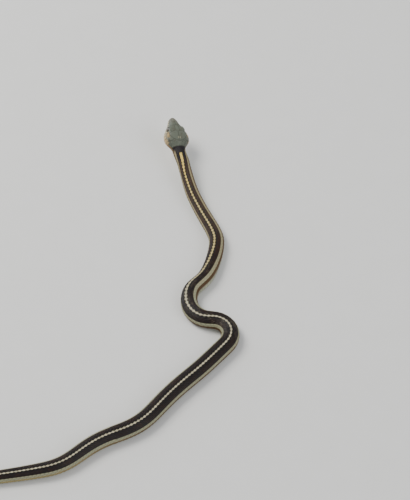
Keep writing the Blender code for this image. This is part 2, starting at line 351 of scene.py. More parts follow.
@dataclass(frozen=True)
class HeadForm:
    """The head: squarish ovals from the snout back to the round nape.

    The knots give millimetres against millimetres behind the snout.
    """

    length: float = 23.6 * MM
    half_width: Profile = Profile((
        (0, 1.15), (0.5, 1.7), (1.5, 2.3), (3, 3.0), (4.5, 3.6), (6, 4.3), (7.8, 5.25),
        (9.5, 6.25), (11.5, 7.35), (13.5, 8.1), (15.5, 8.4), (17.2, 8.2), (19, 7.3),
        (20.7, 5.85), (22, 4.85), (23.6, 4.3),
    ))
    top: Profile = Profile((
        (0, 1.4), (0.5, 2.0), (1.5, 2.55), (3, 3.05), (5.6, 3.7), (9, 4.4), (13, 4.95),
        (17, 4.8), (21, 4.4), (23.6, 4.3),
    ))
    bottom: Profile = Profile((
        (0, 1.15), (0.5, 1.65), (1.5, 2.15), (3, 2.6), (5.6, 3.15), (9, 3.7), (13, 4.2),
        (17, 4.45), (21, 4.35), (23.6, 4.3),
    ))
    squareness: Profile = Profile((
        (0, 2.4), (5, 2.7), (12, 2.6), (18, 2.3), (22, 2.0), (23.6, 2.0),
    ))
    mouth_line: Profile = Profile((
        (-2, -0.3), (0, -0.3), (3, -0.5), (8.5, -0.85), (13, -0.55), (16, -0.15),
        (19, -0.15), (21, 0), (23.6, 0),
    ))
    mouth_corner: float = 17.2 * MM
    lip_bulge: float = 0.28 * MM
    lip_height: float = 1.6 * MM
    lip_front_fade: float = 1.5 * MM
    lip_back_fade: float = 2 * MM
    table_rows: int = 96
    table_turn: float = 1.5

    def ring(self, behind: float, around: Array) -> Array:
        """One section of the head.

        Args:
            behind: Its distance behind the snout.
            around: Degrees from the middle of the top: 90 is the mouth line, 180 the chin.

        Returns:
            Points in the head's frame: X to the right, Y forward from the nape, Z up.
        """
        place = behind / MM
        width = float(self.half_width(place)) * MM
        power = float(self.squareness(place))
        across, rise = np.sin(HALF_TURN), np.cos(HALF_TURN)
        reach = (across**power + np.abs(rise) ** power) ** (-1 / power)
        tall = np.where(rise > 0, float(self.top(place)), float(self.bottom(place))) * MM
        z = tall * rise * reach
        x = width * across * reach + self.lip_swell(behind, z) * across
        walked = walk(x, z)
        lip = np.interp(-self.mouth_height(behind), -z, walked)
        share = np.abs(around) / 90
        arc = np.where(share <= 1, share * lip, lip + (share - 1) * (walked[-1] - lip))
        return np.stack([
            np.copysign(np.interp(arc, walked, x), around),
            np.full_like(arc, self.length - behind),
            np.interp(arc, walked, z),
        ], -1)

    def mouth_height(self, behind: float) -> float:
        """How high the mouth line lies over the head's axis."""
        return float(self.mouth_line(behind / MM)) * MM

    def lip_swell(self, behind: float, height: Array) -> Array:
        """How far the lips stand out at a height above the head's axis.

        Args:
            behind: Distance behind the snout.
            height: Heights above the axis.

        Returns:
            The distances, in metres.
        """
        line = self.mouth_height(behind)
        near = np.maximum(1 - np.abs(height - line) / self.lip_height, 0)
        front = min(behind / self.lip_front_fade, 1)
        back = min(max((self.mouth_corner - behind) / self.lip_back_fade, 0), 1)
        return self.lip_bulge * near * near * (3 - 2 * near) * front * back

    def table(self) -> Array:
        """The whole head on an even grid of places along and around.

        Returns:
            Its points, by row and column.
        """
        around = np.arange(-180, 180 + self.table_turn / 2, self.table_turn)
        behind = np.linspace(0, self.length, self.table_rows)
        return np.stack([self.ring(place, around) for place in behind])


@dataclass(frozen=True)
class Lie:
    """How the pattern of scales and stripes lies round the sections.

    Rows of scales reach down to an edge that sits higher on the neck, and the whole pattern
    turns with the skin, so that the middle of the back isn't always the top of the section.
    The knots give degrees against millimetres behind the snout.
    """

    edge: float = 110
    span: Profile = Profile(((18, 110), (27.5, 90), (64, 91), (89, 99), (124, 110), (546, 110)))
    turn: Profile = Profile((
        (18, 0), (25, 16), (30, 25), (38, 25), (49, 21), (82, 19), (102, 18), (116, 28),
        (129, 37), (144, 26), (159, 18), (171, 4), (189, -7), (214, -12), (264, -12),
        (369, -5), (424, 0), (546, 0),
    ))

    @staticmethod
    def moved(angle: Array, old: Array | float, new: Array | float) -> Array:
        """Angles once those at an old place lie at a new one, while 0 and 180 stay.

        Args:
            angle: The angles.
            old: The place.
            new: Where it lies now.

        Returns:
            The new angles.
        """
        size = np.abs(angle)
        outer = new + (size - old) * (180 - new) / (180 - old)
        return np.copysign(np.where(size < old, size * new / old, outer), angle)

    def turned(self, along: Array, around: Array) -> Array:
        """The section's own angle where the pattern has the angle around."""
        angle = self.moved(around, self.edge, self.span(along / MM))
        return wrapped(angle - self.turn(along / MM))

    def around(self, along: Array, turned: Array) -> Array:
        """The pattern's angle at the section's own angle turned."""
        angle = wrapped(turned + self.turn(along / MM))
        return self.moved(angle, self.span(along / MM), self.edge)


@dataclass
class SnakeForm:
    """The whole outer surface of the snake, head and body as one.

    The skin lies inside it by the coat's depth, which fades out at the tail's tip.
    """

    body: BodyForm
    head: HeadForm
    lie: Lie
    coat_depth: float = 0.22 * MM
    tip_fade: float = 30 * MM
    probe_length: float = 0.3 * MM
    probe_turn: float = 2.0
    last_knot: float = 1.001

    def __post_init__(self) -> None:
        """Work out the whole length, the vent's place, and the head's table and frame."""
        self.length = self.head.length + self.body.length
        self.vent = self.head.length + self.body.vent
        self.head_table = self.head.table()
        centre, right, forward, up = (axis[0] for axis in self.body.axes(np.array([0.0])))
        rows = np.stack([right, forward, up, centre], -1)
        self.head_frame = Matrix([*rows.tolist(), (0, 0, 0, 1)])

    def room(self, along: Array) -> Array:
        """How far the skin lies inside the surface, under the scales."""
        return self.coat_depth * ease(along, self.length, self.length - self.tip_fade)

    def to_world(self, points: Array) -> Array:
        """Take points from the head's frame to the world."""
        turn = np.array(self.head_frame.to_3x3())
        return points @ turn.T + np.array(self.head_frame.translation)

    def knot(self, place: Array, count: int) -> tuple[Array, Array]:
        """The number of the knot before each place, and the share of the way to the next.

        Args:
            place: Places, counted in knots.
            count: How many knots there are.

        Returns:
            The two, for each place.
        """
        place = np.clip(place, 0, count - self.last_knot)
        number = place.astype(int)
        return number, (place - number)[..., None]

    def head_points(self, along: Array, turned: Array) -> Array:
        """Points of the head's outer surface, read from its table.

        Args:
            along: Distances behind the snout.
            turned: Degrees round the section.

        Returns:
            The points, in the world.
        """
        grid = self.head_table
        rows, columns = grid.shape[:2]
        i, s = self.knot(along / self.head.length * (rows - 1), rows)
        j, t = self.knot((turned + 180) / self.head.table_turn, columns)
        near = grid[i, j] * (1 - t) + grid[i, j + 1] * t
        far = grid[i + 1, j] * (1 - t) + grid[i + 1, j + 1] * t
        return self.to_world(near * (1 - s) + far * s)

    def points(self, along: Array, around: Array) -> Array:
        """Points of the outer surface.

        Args:
            along: Distances behind the snout.
            around: Degrees from the middle of the back, one for each distance.

        Returns:
            One point for each pair.
        """
        along = np.clip(along, 0, self.length)
        turned = self.lie.turned(along, wrapped(around))
        on_body = self.body.points(np.maximum(along - self.head.length, 0), turned)
        on_head = self.head_points(np.minimum(along, self.head.length), turned)
        return np.where((along < self.head.length)[..., None], on_head, on_body)

    def normals(self, along: Array, around: Array) -> Array:
        """Outward directions of the surface at those places.

        Args:
            along: Distances behind the snout.
            around: Degrees from the middle of the back.

        Returns:
            One direction for each pair.
        """
        back = np.clip(along + self.probe_length, 0, self.length)
        ahead = np.clip(along - self.probe_length, 0, self.length)
        tailward = self.points(back, around) - self.points(ahead, around)
        right = self.points(along, around + self.probe_turn)
        left = self.points(along, around - self.probe_turn)
        return unit(np.cross(tailward, right - left))


@dataclass(frozen=True)
class Lattice:
    """The rings of scales along the snake, one for each scute of the belly."""

    length: float
    start: float = 7.0
    pitch: Profile = Profile((
        (8, 1.35), (19, 1.5), (25, 1.9), (32, 2.25), (41, 2.375), (416, 2.375), (439, 2.0),
        (499, 1.45), (546, 1.0),
    ))
    tip: float = 0.8

    def rings(self) -> tuple[Array, Array]:
        """Where each ring of scales lies behind the snout, and the distance to the next.

        Returns:
            The two, with one entry for each ring.
        """
        places, along = [], self.start
        while along < self.length / MM - self.tip:
            places.append(along)
            along += float(self.pitch(along))
        places = np.array(places)
        return places * MM, self.pitch(places) * MM

    def number(self, along: Array) -> Array:
        """The number of the ring at a distance behind the snout, with its fraction."""
        places = self.rings()[0]
        return np.interp(along, places, np.arange(len(places)))


# ------------------------------------------------------------------ meshes
def make_object(name: str, mesh: bpy.types.Mesh | bmesh.types.BMesh,
                material: Material) -> Object:
    """Put a mesh in the scene, at the origin, with one material.

    Args:
        name: The piece's name.
        mesh: Its mesh, already in place. One that is still under work is freed.
        material: Its finish.

    Returns:
        The new object.
    """
    if isinstance(mesh, bmesh.types.BMesh):
        work, mesh = mesh, bpy.data.meshes.new(name)
        work.to_mesh(mesh)
        work.free()
    thing = bpy.data.objects.new(name, mesh)
    mesh.materials.append(material)
    bpy.context.scene.collection.objects.link(thing)
    return thing


def add_values(mesh: bpy.types.Mesh, name: str, values: Array) -> None:
    """Store one number for each vertex under a name that the finishes read."""
    layer = mesh.attributes.new(name, "FLOAT", "POINT")
    layer.data.foreach_set("value", np.ascontiguousarray(values, np.float32).ravel())


def add_uv(mesh: bpy.types.Mesh, corners: Array) -> None:
    """Store the bake map: one pair for each face corner."""
    layer = mesh.uv_layers.new(name=UV_NAME)
    layer.data.foreach_set("uv", np.ascontiguousarray(corners, np.float32).ravel())


@dataclass
class Sheet:
    """A net of points round the snake, open under the belly.

    It holds rows of points, the numbers that its finish reads at each, and the lowest and
    highest place of its rows on the map.
    """

    points: Array
    values: dict[str, Array]
    low: float
    high: float
    margin: float = 0.008

    @staticmethod
    def closed(grid: Array) -> Array:
        """A ring's values with the first of each row again at its end."""
        return np.concatenate([grid, grid[:, :1]], axis=1)

    def lay(self, mesh: bmesh.types.BMesh) -> Array:
        """Add the sheet to a mesh.

        Args:
            mesh: The mesh, with a map and a layer for each value.

        Returns:
            Its vertices in rows.
        """
        rows, columns = self.points.shape[:2]
        made = bmesh.ops.create_grid(
            mesh, x_segments=columns - 1, y_segments=rows - 1, size=0.5, calc_uvs=True
        )
        net = np.empty((rows, columns), object)
        for vert in made["verts"]:
            row, column = (vert.co.y + 0.5) * (rows - 1), (vert.co.x + 0.5) * (columns - 1)
            net[round(row), round(column)] = vert
        layer = mesh.loops.layers.uv.active
        for face in {face for vert in made["verts"] for face in vert.link_faces}:
            for loop in face.loops:
                u, v = loop[layer].uv
                across = self.margin + (1 - 2 * self.margin) * u
                loop[layer].uv = (across, self.low + (self.high - self.low) * v)
        for vert, point in zip(net.ravel(), self.points.reshape(-1, 3)):
            vert.co = point
        for name, grid in self.values.items():
            layer = mesh.verts.layers.float[name]
            for vert, value in zip(net.ravel(), grid.ravel()):
                vert[layer] = value
        return net


def settle(thing: Object, slot: Slot, *nodes: str) -> None:
    """Shade a piece smooth, let it ride, and hide the nodes it stands for.

    Args:
        thing: The piece.
        slot: The record's slot that it takes its finish from; not used.
        nodes: CAD nodes that it replaces.
    """
    thing.data.shade_smooth()
    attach(thing, BODY)
    if nodes:
        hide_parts(*nodes)
    triangles = sum(len(p.vertices) - 2 for p in thing.data.polygons)
    LOG.info("%s: %d triangles", thing.name, triangles)


# ------------------------------------------------------------------ node building
@dataclass(frozen=True)
class Value:
    """A number or a colour in a node tree; numbers add up and multiply like plain ones."""

    graph: "Graph"
    socket: bpy.types.NodeSocket

    def __add__(self, other: object) -> "Value":
        """This number plus another."""
        return self.math("ADD", other)

    def __sub__(self, other: object) -> "Value":
        """This number less another."""
        return self.math("SUBTRACT", other)

    def __mul__(self, other: object) -> "Value":
        """This number times another."""
        return self.math("MULTIPLY", other)

    def math(self, operation: str, other: object = 0.0) -> "Value":
        """This number in a Math node, with a second one where it takes two."""
        inputs = {0: self, 1: other}
        return self.graph.value("ShaderNodeMath", 0, inputs, operation=operation)

    def step(self, low: float, high: float) -> "Value":
        """A smooth step of this number, 0 at low and 1 at high, either way round.

        Args:
            low: Where it is 0.
            high: Where it is 1.

        Returns:
            The step.
        """
        inputs = {"Value": self, "From Min": low, "From Max": high}
        smooth = {"interpolation_type": "SMOOTHSTEP"}
        return self.graph.value("ShaderNodeMapRange", "Result", inputs, **smooth)

    def part(self, low: float, high: float, share: float) -> "Value":
        """The same step, up to a share."""
        return self.step(low, high) * share

    def band(self, low: float, high: float, soft: float) -> "Value":
        """1 where this number lies between low and high, with soft edges."""
        return self.step(low - soft, low + soft) * self.step(high + soft, high - soft)

    def mix(self, a: object, b: object) -> "Value":
        """Colour a where this share is 0, and colour b where it is 1."""
        return self.graph.mix(self, a, b, "RGBA")

    def under(self, *layers: tuple["Value", object]) -> "Value":
        """This colour with others laid over it, each given after how much it covers."""
        return reduce(lambda colour, layer: layer[0].mix(colour, layer[1]), layers, self)

    def blend(self, a: object, b: object) -> "Value":
        """Number a where this share is 0, and number b where it is 1."""
        return self.graph.mix(self, a, b, "FLOAT")


class Graph:
    """A small hand for wiring shader nodes."""

    def __init__(self, tree: Tree) -> None:
        """Keep the tree that the nodes go into."""
        self.tree = tree

    def fill(self, node: bpy.types.Node, inputs: dict[str | int, object]) -> None:
        """Link or set inputs of a node.

        Args:
            node: The node.
            inputs: A value, a socket or something plain for each input's name or number.
        """
        for key, given in inputs.items():
            source = given.socket if isinstance(given, Value) else given
            if isinstance(source, bpy.types.NodeSocket):
                self.tree.links.new(source, node.inputs[key])
            else:
                node.inputs[key].default_value = source

    def node(self, kind: str, inputs: dict[str | int, object],
             **settings: object) -> bpy.types.Node:
        """Add a node, set its own properties and fill its inputs.

        Args:
            kind: The node's type.
            inputs: What feeds its inputs, by name or number.
            **settings: Its own properties.

        Returns:
            The node.
        """
        made = self.tree.nodes.new(kind)
        for name, setting in settings.items():
            setattr(made, name, setting)
        self.fill(made, inputs)
        return made

    def value(self, kind: str, output: str | int, inputs: dict[str | int, object],
              **settings: object) -> Value:
        """Add a node and take one of its outputs, by name or number."""
        return Value(self, self.node(kind, inputs, **settings).outputs[output])

    def mix(self, share: object, a: object, b: object, kind: str) -> Value:
        """Two colours (kind RGBA) or numbers (FLOAT), mixed by a share."""
        inputs = {"Factor": share, "A": a, "B": b}
        return self.value("ShaderNodeMix", "Result", inputs, data_type=kind)

    def attribute(self, name: str) -> Value:
        """A number stored on the mesh."""
        return self.value("ShaderNodeAttribute", "Fac", {}, attribute_name=name)

    def noise(self, scale: float, detail: float = 2.0) -> Value:
        """Noise over the object's own coordinates.

        Args:
            scale: How fine it is.
            detail: How many octaves it has.

        Returns:
            The noise.
        """
        place = self.value("ShaderNodeTexCoord", "Object", {})
        inputs = {"Scale": scale, "Detail": detail, "Vector": place}
        return self.value("ShaderNodeTexNoise", "Fac", inputs)


class Group(Graph):
    """A new node group and what is wired in it."""

    def __init__(self, name: str, inputs: tuple[str, ...], outputs: dict[str, str]) -> None:
        """Start the group.

        Args:
            name: Its name.
            inputs: Names of its number inputs.
            outputs: Names of its outputs, each with "Color", "Float" or "Vector".
        """
        super().__init__(bpy.data.node_groups.new(name, "ShaderNodeTree"))
        sockets = [(socket, "INPUT", "Float") for socket in inputs]
        sockets += [(socket, "OUTPUT", kind) for socket, kind in outputs.items()]
        for socket, way, kind in sockets:
            self.tree.interface.new_socket(socket, in_out=way, socket_type=f"NodeSocket{kind}")
        given = self.tree.nodes.new("NodeGroupInput").outputs
        self.given = {socket: Value(self, given[socket]) for socket in inputs}

    def give(self, outputs: dict[str, object]) -> Tree:
        """Feed the group's outputs, and hand over its tree."""
        self.node("NodeGroupOutput", outputs)
        return self.tree


class Surface(Graph):
    """A new material and what is wired in it."""

    def __init__(self, name: str) -> None:
        """Start the material.

        Args:
            name: Its name.
        """
        self.material = bpy.data.materials.new(name)
        self.material.use_nodes = True
        super().__init__(self.material.node_tree)

    def give(self, inputs: dict[str, object]) -> Material:
        """Feed the shader's inputs, and hand over the material."""
        self.fill(self.tree.nodes["Principled BSDF"], inputs)
        return self.material


@dataclass(frozen=True)
class Spot:
    """What the markings know of a point on the snake.

    Along is in millimetres behind the snout. Around is in degrees from the middle of the back,
    row is the same for the middle of the scale, and ring counts the scales along. Tone is the
    scale's own random number. Edge and bar tell how far the point lies in a dark edge or a
    lip's bar, and edge shade is how dark edges are, all from 0 to 1. Dark edges are the scales'
    borders, the shields' sutures, painted shade in the mouth's crease and the nostrils, and round
    the eyes a dark rim that is partly painted shade.
    """

    along: Value
    around: Value
    row: Value
    ring: Value
    tone: Value
    edge: Value
    bar: Value
    edge_shade: Value

    @classmethod
    def names(cls) -> tuple[str, ...]:
        """The names of the group inputs that give them."""
        return tuple(field.name.replace("_", " ").title() for field in fields(cls))


@dataclass(frozen=True)
class Markings:
    """The snake's colours and where each lies, shared by the skin and every scale.

    Places along are in millimetres behind the snout, and places around in degrees. Two numbers
    are where a change begins and where it ends. A third one is the share that it reaches, or,
    of a band, the softness of its edges.
    """

    field: Colour = paint(29, 15, 9)
    field_neck: Colour = paint(54, 30, 10)
    field_spot: Colour = paint(13, 8, 8)
    stripe_neck: Colour = paint(248, 215, 112)
    stripe_middle: Colour = paint(218, 196, 130)
    stripe_back: Colour = paint(206, 196, 164)
    side_stripe: Colour = paint(178, 166, 126)
    side_rear: Colour = paint(176, 175, 142)
    flank: Colour = paint(102, 74, 42)
    flank_rear: Colour = paint(184, 166, 112)
    belly: Colour = paint(178, 178, 150)
    crown: Colour = paint(99, 104, 91)
    snout: Colour = paint(116, 115, 101)
    mottle: Colour = paint(70, 52, 38)
    lips: Colour = paint(182, 173, 140)
    lips_warm: Colour = paint(184, 150, 100)
    streak: Colour = paint(148, 122, 68)
    jaw: Colour = paint(150, 122, 82)
    throat: Colour = paint(218, 208, 174)
    nape: Colour = paint(20, 14, 18)
    spot: Colour = paint(224, 210, 168)
    suture: Colour = paint(30, 25, 21)
    # The dark colour of the edges: scale borders and shield sutures, and also painted shade in
    # the mouth's crease, the nostrils and round the eyes.
    fleck: Colour = paint(184, 172, 140)

    head_ends: Pair = (18.7, 19.5)
    crown_ends: Pair = (21.5, 22.6)
    snout_begins: Pair = (5.5, 1.5)
    mottle_noise: Pair = (420.0, 3.0)
    mottled: Triple = (0.42, 0.72, 0.35)
    streak_along: Triple = (11.3, 15.6, 0.7)
    streak_around: Triple = (50.0, 65.0, 3.0)
    lips_turn: Triple = (9.0, 17.0, 0.6)
    lip_edge: Pair = (66.0, 72.0)
    chin_edge: Pair = (108.0, 124.0)
    spot_places: Pair = (5.0, 16.2)
    spot_scales: Pair = (0.34, 1.3)
    spots: Triple = (1.0, 0.45, 0.3)

    nape_ends: Pair = (35.0, 28.5)
    nape_sides: Pair = (82.0, 72.0)
    back_edge: Pair = (88.0, 80.0)
    field_turns: Pair = (70.0, 140.0)
    patch_noise: Pair = (150.0, 1.0)
    patches: Triple = (0.45, 0.7, 0.35)
    dark_rings: Triple = (0.2, 0.9, 0.35)
    dark_scales: Triple = (0.3, 0.0, 0.3)
    beside_stripe: Triple = (27.0, 15.0, 0.75)
    fleck_scales: Pair = (0.72, 0.82)
    fleck_along: Triple = (118.0, 190.0, 9.0)
    fleck_edges: Pair = (0.25, 0.8)
    fleck_share: float = 0.6

    flank_turns: Pair = (250.0, 360.0)
    flank_dusk: float = 0.35
    jaw_ends: Pair = (18.7, 25.0)
    belly_edge: Pair = (112.0, 118.0)
    throat_edge: Pair = (122.0, 136.0)
    throat_ends: Pair = (35.0, 25.0)

    row_share: float = 0.65
    side_around: Triple = (55.0, 84.0, 2.5)
    side_begins: Pair = (23.2, 26.2)
    side_turns: Pair = (60.0, 160.0)
    side_dusk: float = 0.3
    stripe_begins: Pair = (26.5, 27.5)
    stripe_edge: Pair = (-0.7, 0.7)
    stripe_turns: Pair = (35.0, 70.0)
    stripe_fades: Pair = (100.0, 150.0)
    wide_start: Triple = (43.0, 28.5, 6.5)
    narrows: Pair = (145.0, 170.0)
    half_widths: Pair = (7.0, 5.0)
    beads: Pair = (4.0, 2.8)
    beads_begin: Pair = (27.5, 35.0)

    bar_shade: float = 0.8
    pale_shade: float = 1.4
    tones: Pair = (0.86, 1.12)

    def group(self) -> Tree:
        """The node group that turns a place on the snake into its colour.

        Returns:
            A group with an input for each field of Spot, and the output Color.
        """
        g = Group("markings", Spot.names(), {"Color": "Color"})
        at = Spot(*g.given.values())
        nape = self.nape_mask(at)
        head = nape.mix(self.head_colour(g, at), self.nape)
        back = at.along.step(*self.crown_ends).mix(self.crown, self.field_colour(g, at))
        body = at.row.step(*self.back_edge).mix(self.sides(at), back)
        body, pale = self.with_stripes(g, at, nape.mix(body, self.nape))
        behind = at.along.step(*self.head_ends)
        colour = behind.mix(head, body)
        # Edges darken towards the suture colour: scale borders and sutures, and on the head also
        # painted shade in the mouth's crease, the nostrils and round the eyes.
        shade = (pale * behind).blend(1.0, self.pale_shade) * (at.edge * at.edge_shade)
        colour = colour.under((shade, self.suture), (at.bar * self.bar_shade, self.nape))
        inputs = {"Value": at.tone.blend(*self.tones), "Color": colour}
        return g.give({"Color": g.value("ShaderNodeHueSaturation", "Color", inputs)})

    def nape_mask(self, at: Spot) -> Value:
        """1 on the dark blotch behind the head, which reaches back beside the first stripe."""
        behind = at.along.step(*self.crown_ends) * at.along.step(*self.nape_ends)
        return behind * at.around.step(*self.nape_sides)

    def field_colour(self, g: Graph, at: Spot) -> Value:
        """The dark field between the stripes, brown on the neck and nearly black behind it.

        Args:
            g: The group's graph.
            at: The point.

        Returns:
            The colour.
        """
        wave = (at.ring * (math.pi / 2)).math("SINE")
        flecked = at.tone.step(*self.fleck_scales) * at.along.band(*self.fleck_along)
        flecked = flecked * at.edge.step(*self.fleck_edges) * self.fleck_share
        return at.along.step(*self.field_turns).mix(self.field_neck, self.field).under(
            (g.noise(*self.patch_noise).part(*self.patches), self.field_neck),
            (wave.part(*self.dark_rings), self.field_spot),
            (at.tone.part(*self.dark_scales), self.field_spot),
            (at.around.part(*self.beside_stripe), self.field_spot),
            (flecked, self.fleck),
        )

    def sides(self, at: Spot) -> Value:
        """The flanks under the side stripes, the belly and the throat.

        Args:
            at: The point.

        Returns:
            The colour.
        """
        flank = at.along.step(*self.flank_turns).mix(self.flank, self.flank_rear)
        flank = flank.under((at.tone * self.flank_dusk, self.field))
        throat = at.around.step(*self.throat_edge) * at.along.step(*self.throat_ends)
        return at.along.step(*self.jaw_ends).mix(self.jaw, flank).under(
            (at.row.step(*self.belly_edge), self.belly), (throat, self.throat)
        )

    def with_stripes(self, g: Graph, at: Spot, colour: Value) -> tuple[Value, Value]:
        """Lay the three pale stripes over a colour; the middle one swells on every scale.

        Args:
            g: The group's graph.
            at: The point.
            colour: What lies under them.

        Returns:
            The colour, and how much of it is stripe.
        """
        place = g.mix(self.row_share, at.around, at.row, "FLOAT")
        side = place.band(*self.side_around) * at.along.step(*self.side_begins)
        paler = at.along.step(*self.side_turns).mix(self.side_stripe, self.side_rear)
        paler = paler.under((at.tone * self.side_dusk, self.flank))
        wave = (at.ring * (2 * math.pi)).math("COSINE")
        narrow = at.along.step(*self.narrows)
        swell = at.along.step(*self.beads_begin) * narrow.blend(*self.beads)
        half = narrow.blend(*self.half_widths) + wave * swell
        half = half + at.along.part(*self.wide_start)
        stripe = (half - at.around).step(*self.stripe_edge)
        stripe = stripe * at.along.step(*self.stripe_begins)
        middle = at.along.step(*self.stripe_turns).mix(self.stripe_neck, self.stripe_middle)
        middle = middle.under((at.along.step(*self.stripe_fades), self.stripe_back))
        return colour.under((side, paler), (stripe, middle)), stripe.math("MAXIMUM", side)

    def head_colour(self, g: Graph, at: Spot) -> Value:
        """The crown with its two faint spots, the streak behind the eye, the lips and the chin.

        Args:
            g: The group's graph.
            at: The point.

        Returns:
            The colour.
        """
        streak = at.around.band(*self.streak_around) * at.along.band(*self.streak_along)
        lips = at.along.part(*self.lips_turn).mix(self.lips, self.lips_warm)
        offs = zip((at.around, at.along), self.spot_places, self.spot_scales)
        across, along = (
            ((value - place) * scale).math("POWER", 2.0) for value, place, scale in offs
        )
        return at.along.step(*self.snout_begins).mix(self.crown, self.snout).under(
            (g.noise(*self.mottle_noise).part(*self.mottled), self.mottle),
            (streak, self.streak),
            (at.around.step(*self.lip_edge), lips),
            (at.around.step(*self.chin_edge), self.throat),
            ((across + along).part(*self.spots), self.spot),
        )


@dataclass(frozen=True)
class Grain:
    """The fine grain that the skin and the scales share."""

    scale: float = 900.0
    detail: float = 4.0
    spread: Pair = (-0.06, 0.10)
    strength: float = 0.35

    def group(self) -> Tree:
        """The node group that roughens a surface a little.

        Returns:
            A group with inputs Roughness and Depth (metres), and outputs Roughness and Normal.
        """
        g = Group("grain", ("Roughness", "Depth"), {"Roughness": "Float", "Normal": "Vector"})
        height = g.noise(self.scale, self.detail)
        rough = g.given["Roughness"] + height.blend(*self.spread)
        inputs = {"Strength": self.strength, "Distance": g.given["Depth"], "Height": height}
        return g.give({"Roughness": rough, "Normal": g.value("ShaderNodeBump", "Normal", inputs)})


@dataclass(frozen=True)
class ReptileFinish:
    """A satin scaly surface in the snake's markings."""

    name: str
    edge_shade: float
    roughness: float
    grain_depth: float
    coat: float = 0.06
    coat_roughness: float = 0.22
    specular: float = 0.3

    def material(self, markings: Tree, grain: Tree) -> Material:
        """Build the finish.

        Args:
            markings: The shared markings group.
            grain: The shared grain group.

        Returns:
            The material.
        """
        g = Surface(self.name)
        spot = {name.title(): g.attribute(name) for name in STORED}
        spot |= {"Along": spot["Along"] * (1 / MM), "Edge Shade": self.edge_shade}
        depth = {"Roughness": self.roughness, "Depth": self.grain_depth}
        fine = g.node("ShaderNodeGroup", depth, node_tree=grain).outputs
        return g.give({
            "Base Color": g.value("ShaderNodeGroup", "Color", spot, node_tree=markings),
            "Roughness": fine["Roughness"],
            "Normal": fine["Normal"],
            "Specular IOR Level": self.specular,
            "Coat Weight": self.coat,
            "Coat Roughness": self.coat_roughness,
        })


@dataclass(frozen=True)
class EyeFinish:
    """A dark mottled iris with a thin pale ring round a black pupil, under a wet gloss.

    Over the iris, each layer has the distances off the eye's axis, in mm, between which its
    colour sets in.
    """

    name: str = "eye_gloss"
    mottle_noise: Pair = (2600.0, 3.0)
    mottled: Pair = (0.35, 0.7)
    iris: tuple[Colour, Colour] = (paint(22, 16, 12), paint(52, 37, 23))
    layers: tuple[tuple[Pair, Colour], ...] = (
        ((0.94, 0.87), paint(150, 116, 60)),
        ((0.85, 0.78), paint(6, 5, 6)),
        ((1.36, 1.51), paint(18, 14, 13)),
    )
    roughness: float = 0.12
    coat_roughness: float = 0.03

    def material(self) -> Material:
        """Build the finish.

        Returns:
            The material.
        """
        g = Surface(self.name)
        off_axis = g.attribute("off_axis")
        iris = g.noise(*self.mottle_noise).step(*self.mottled).mix(*self.iris)
        layers = [(off_axis.step(*edge), colour) for edge, colour in self.layers]
        return g.give({
            "Base Color": iris.under(*layers),
            "Roughness": self.roughness,
            "Coat Weight": 1.0,
            "Coat Roughness": self.coat_roughness,
        })


# ------------------------------------------------------------------ the eyes' place
@dataclass(frozen=True)
class EyeSeat:
    """Where the eyes sit in the head, given for the right side."""

    radius: float = 1.7 * MM
    behind: float = 9.3 * MM
    out: float = 4.75 * MM
    up: float = 1.9 * MM
    turn: float = 10
    tilt: float = 14
    reach: float = 2.9 * MM
    crest: float = 1.65 * MM
    beads: int = 10
    bead_height: float = 0.05 * MM
    bead_spread: float = 0.16 * MM
    bead_level: float = 0.5
    # Where a dark ring round the eye sets in and where it is full: the rim scales' own dark edge,
    # with painted shade where the skin meets the ball.
    rim: Pair = (1.78 * MM, 1.58 * MM)
    clear: Pair = (1.68 * MM, 2.0 * MM)
    rise: Profile = Profile((
        (0, 0.65), (1.32, 0.60), (1.42, 0.72), (1.52, 0.92), (1.63, 1.04), (1.76, 1.02),
        (1.90, 0.95), (2.4, 0.94), (2.9, 0.94),
    ))
    hold: Profile = Profile(((0, 1), (1.72, 1), (2.9, 0)))

    def frame(self, side: Side, head_length: float) -> Matrix:
        """The eye's frame in the head: Z looks out of the eye.

        Args:
            side: Which eye.
            head_length: The head's length.

        Returns:
            The frame, with its origin in the middle of the eye.
        """
        s = side.value
        centre = Vector((s * self.out, head_length - self.behind, self.up))
        turn = Matrix.Rotation(math.radians(s * self.turn), 4, "Z")
        tilt = Matrix.Rotation(math.radians(s * (90 - self.tilt)), 4, "Y")
        return Matrix.Translation(centre) @ turn @ tilt

    def fit(self, points: Array, head_length: float) -> tuple[Array, Array]:
        """Close the skin round both eyes in a ring of small raised scales.

        Args:
            points: Points in the head's frame.
            head_length: The head's length.

        Returns:
            The points, moved along the nearer eye's axis, and their distance from that axis.
        """
        nearest = np.full(points.shape[:-1], 1.0)
        for side in Side:
            frame = np.array(self.frame(side, head_length))
            inverse = np.linalg.inv(frame)
            x, y, z = np.moveaxis(points @ inverse[:3, :3].T + inverse[:3, 3], -1, 0)
            off = np.hypot(x, y)
            near = (off < self.reach) & (z > -self.radius)
            bead = np.abs(np.sin(np.arctan2(y, x) * self.beads / 2)) - self.bead_level
            bead = self.bead_height * bead * bump_of(off, self.crest, self.bead_spread)
            height = self.rise(off / MM) * MM + bead
            shift = (height - z) * self.hold(off / MM) * near
            points = points + shift[..., None] * frame[:3, 2]
            nearest = np.where(near, np.minimum(nearest, off), nearest)
        return points, nearest


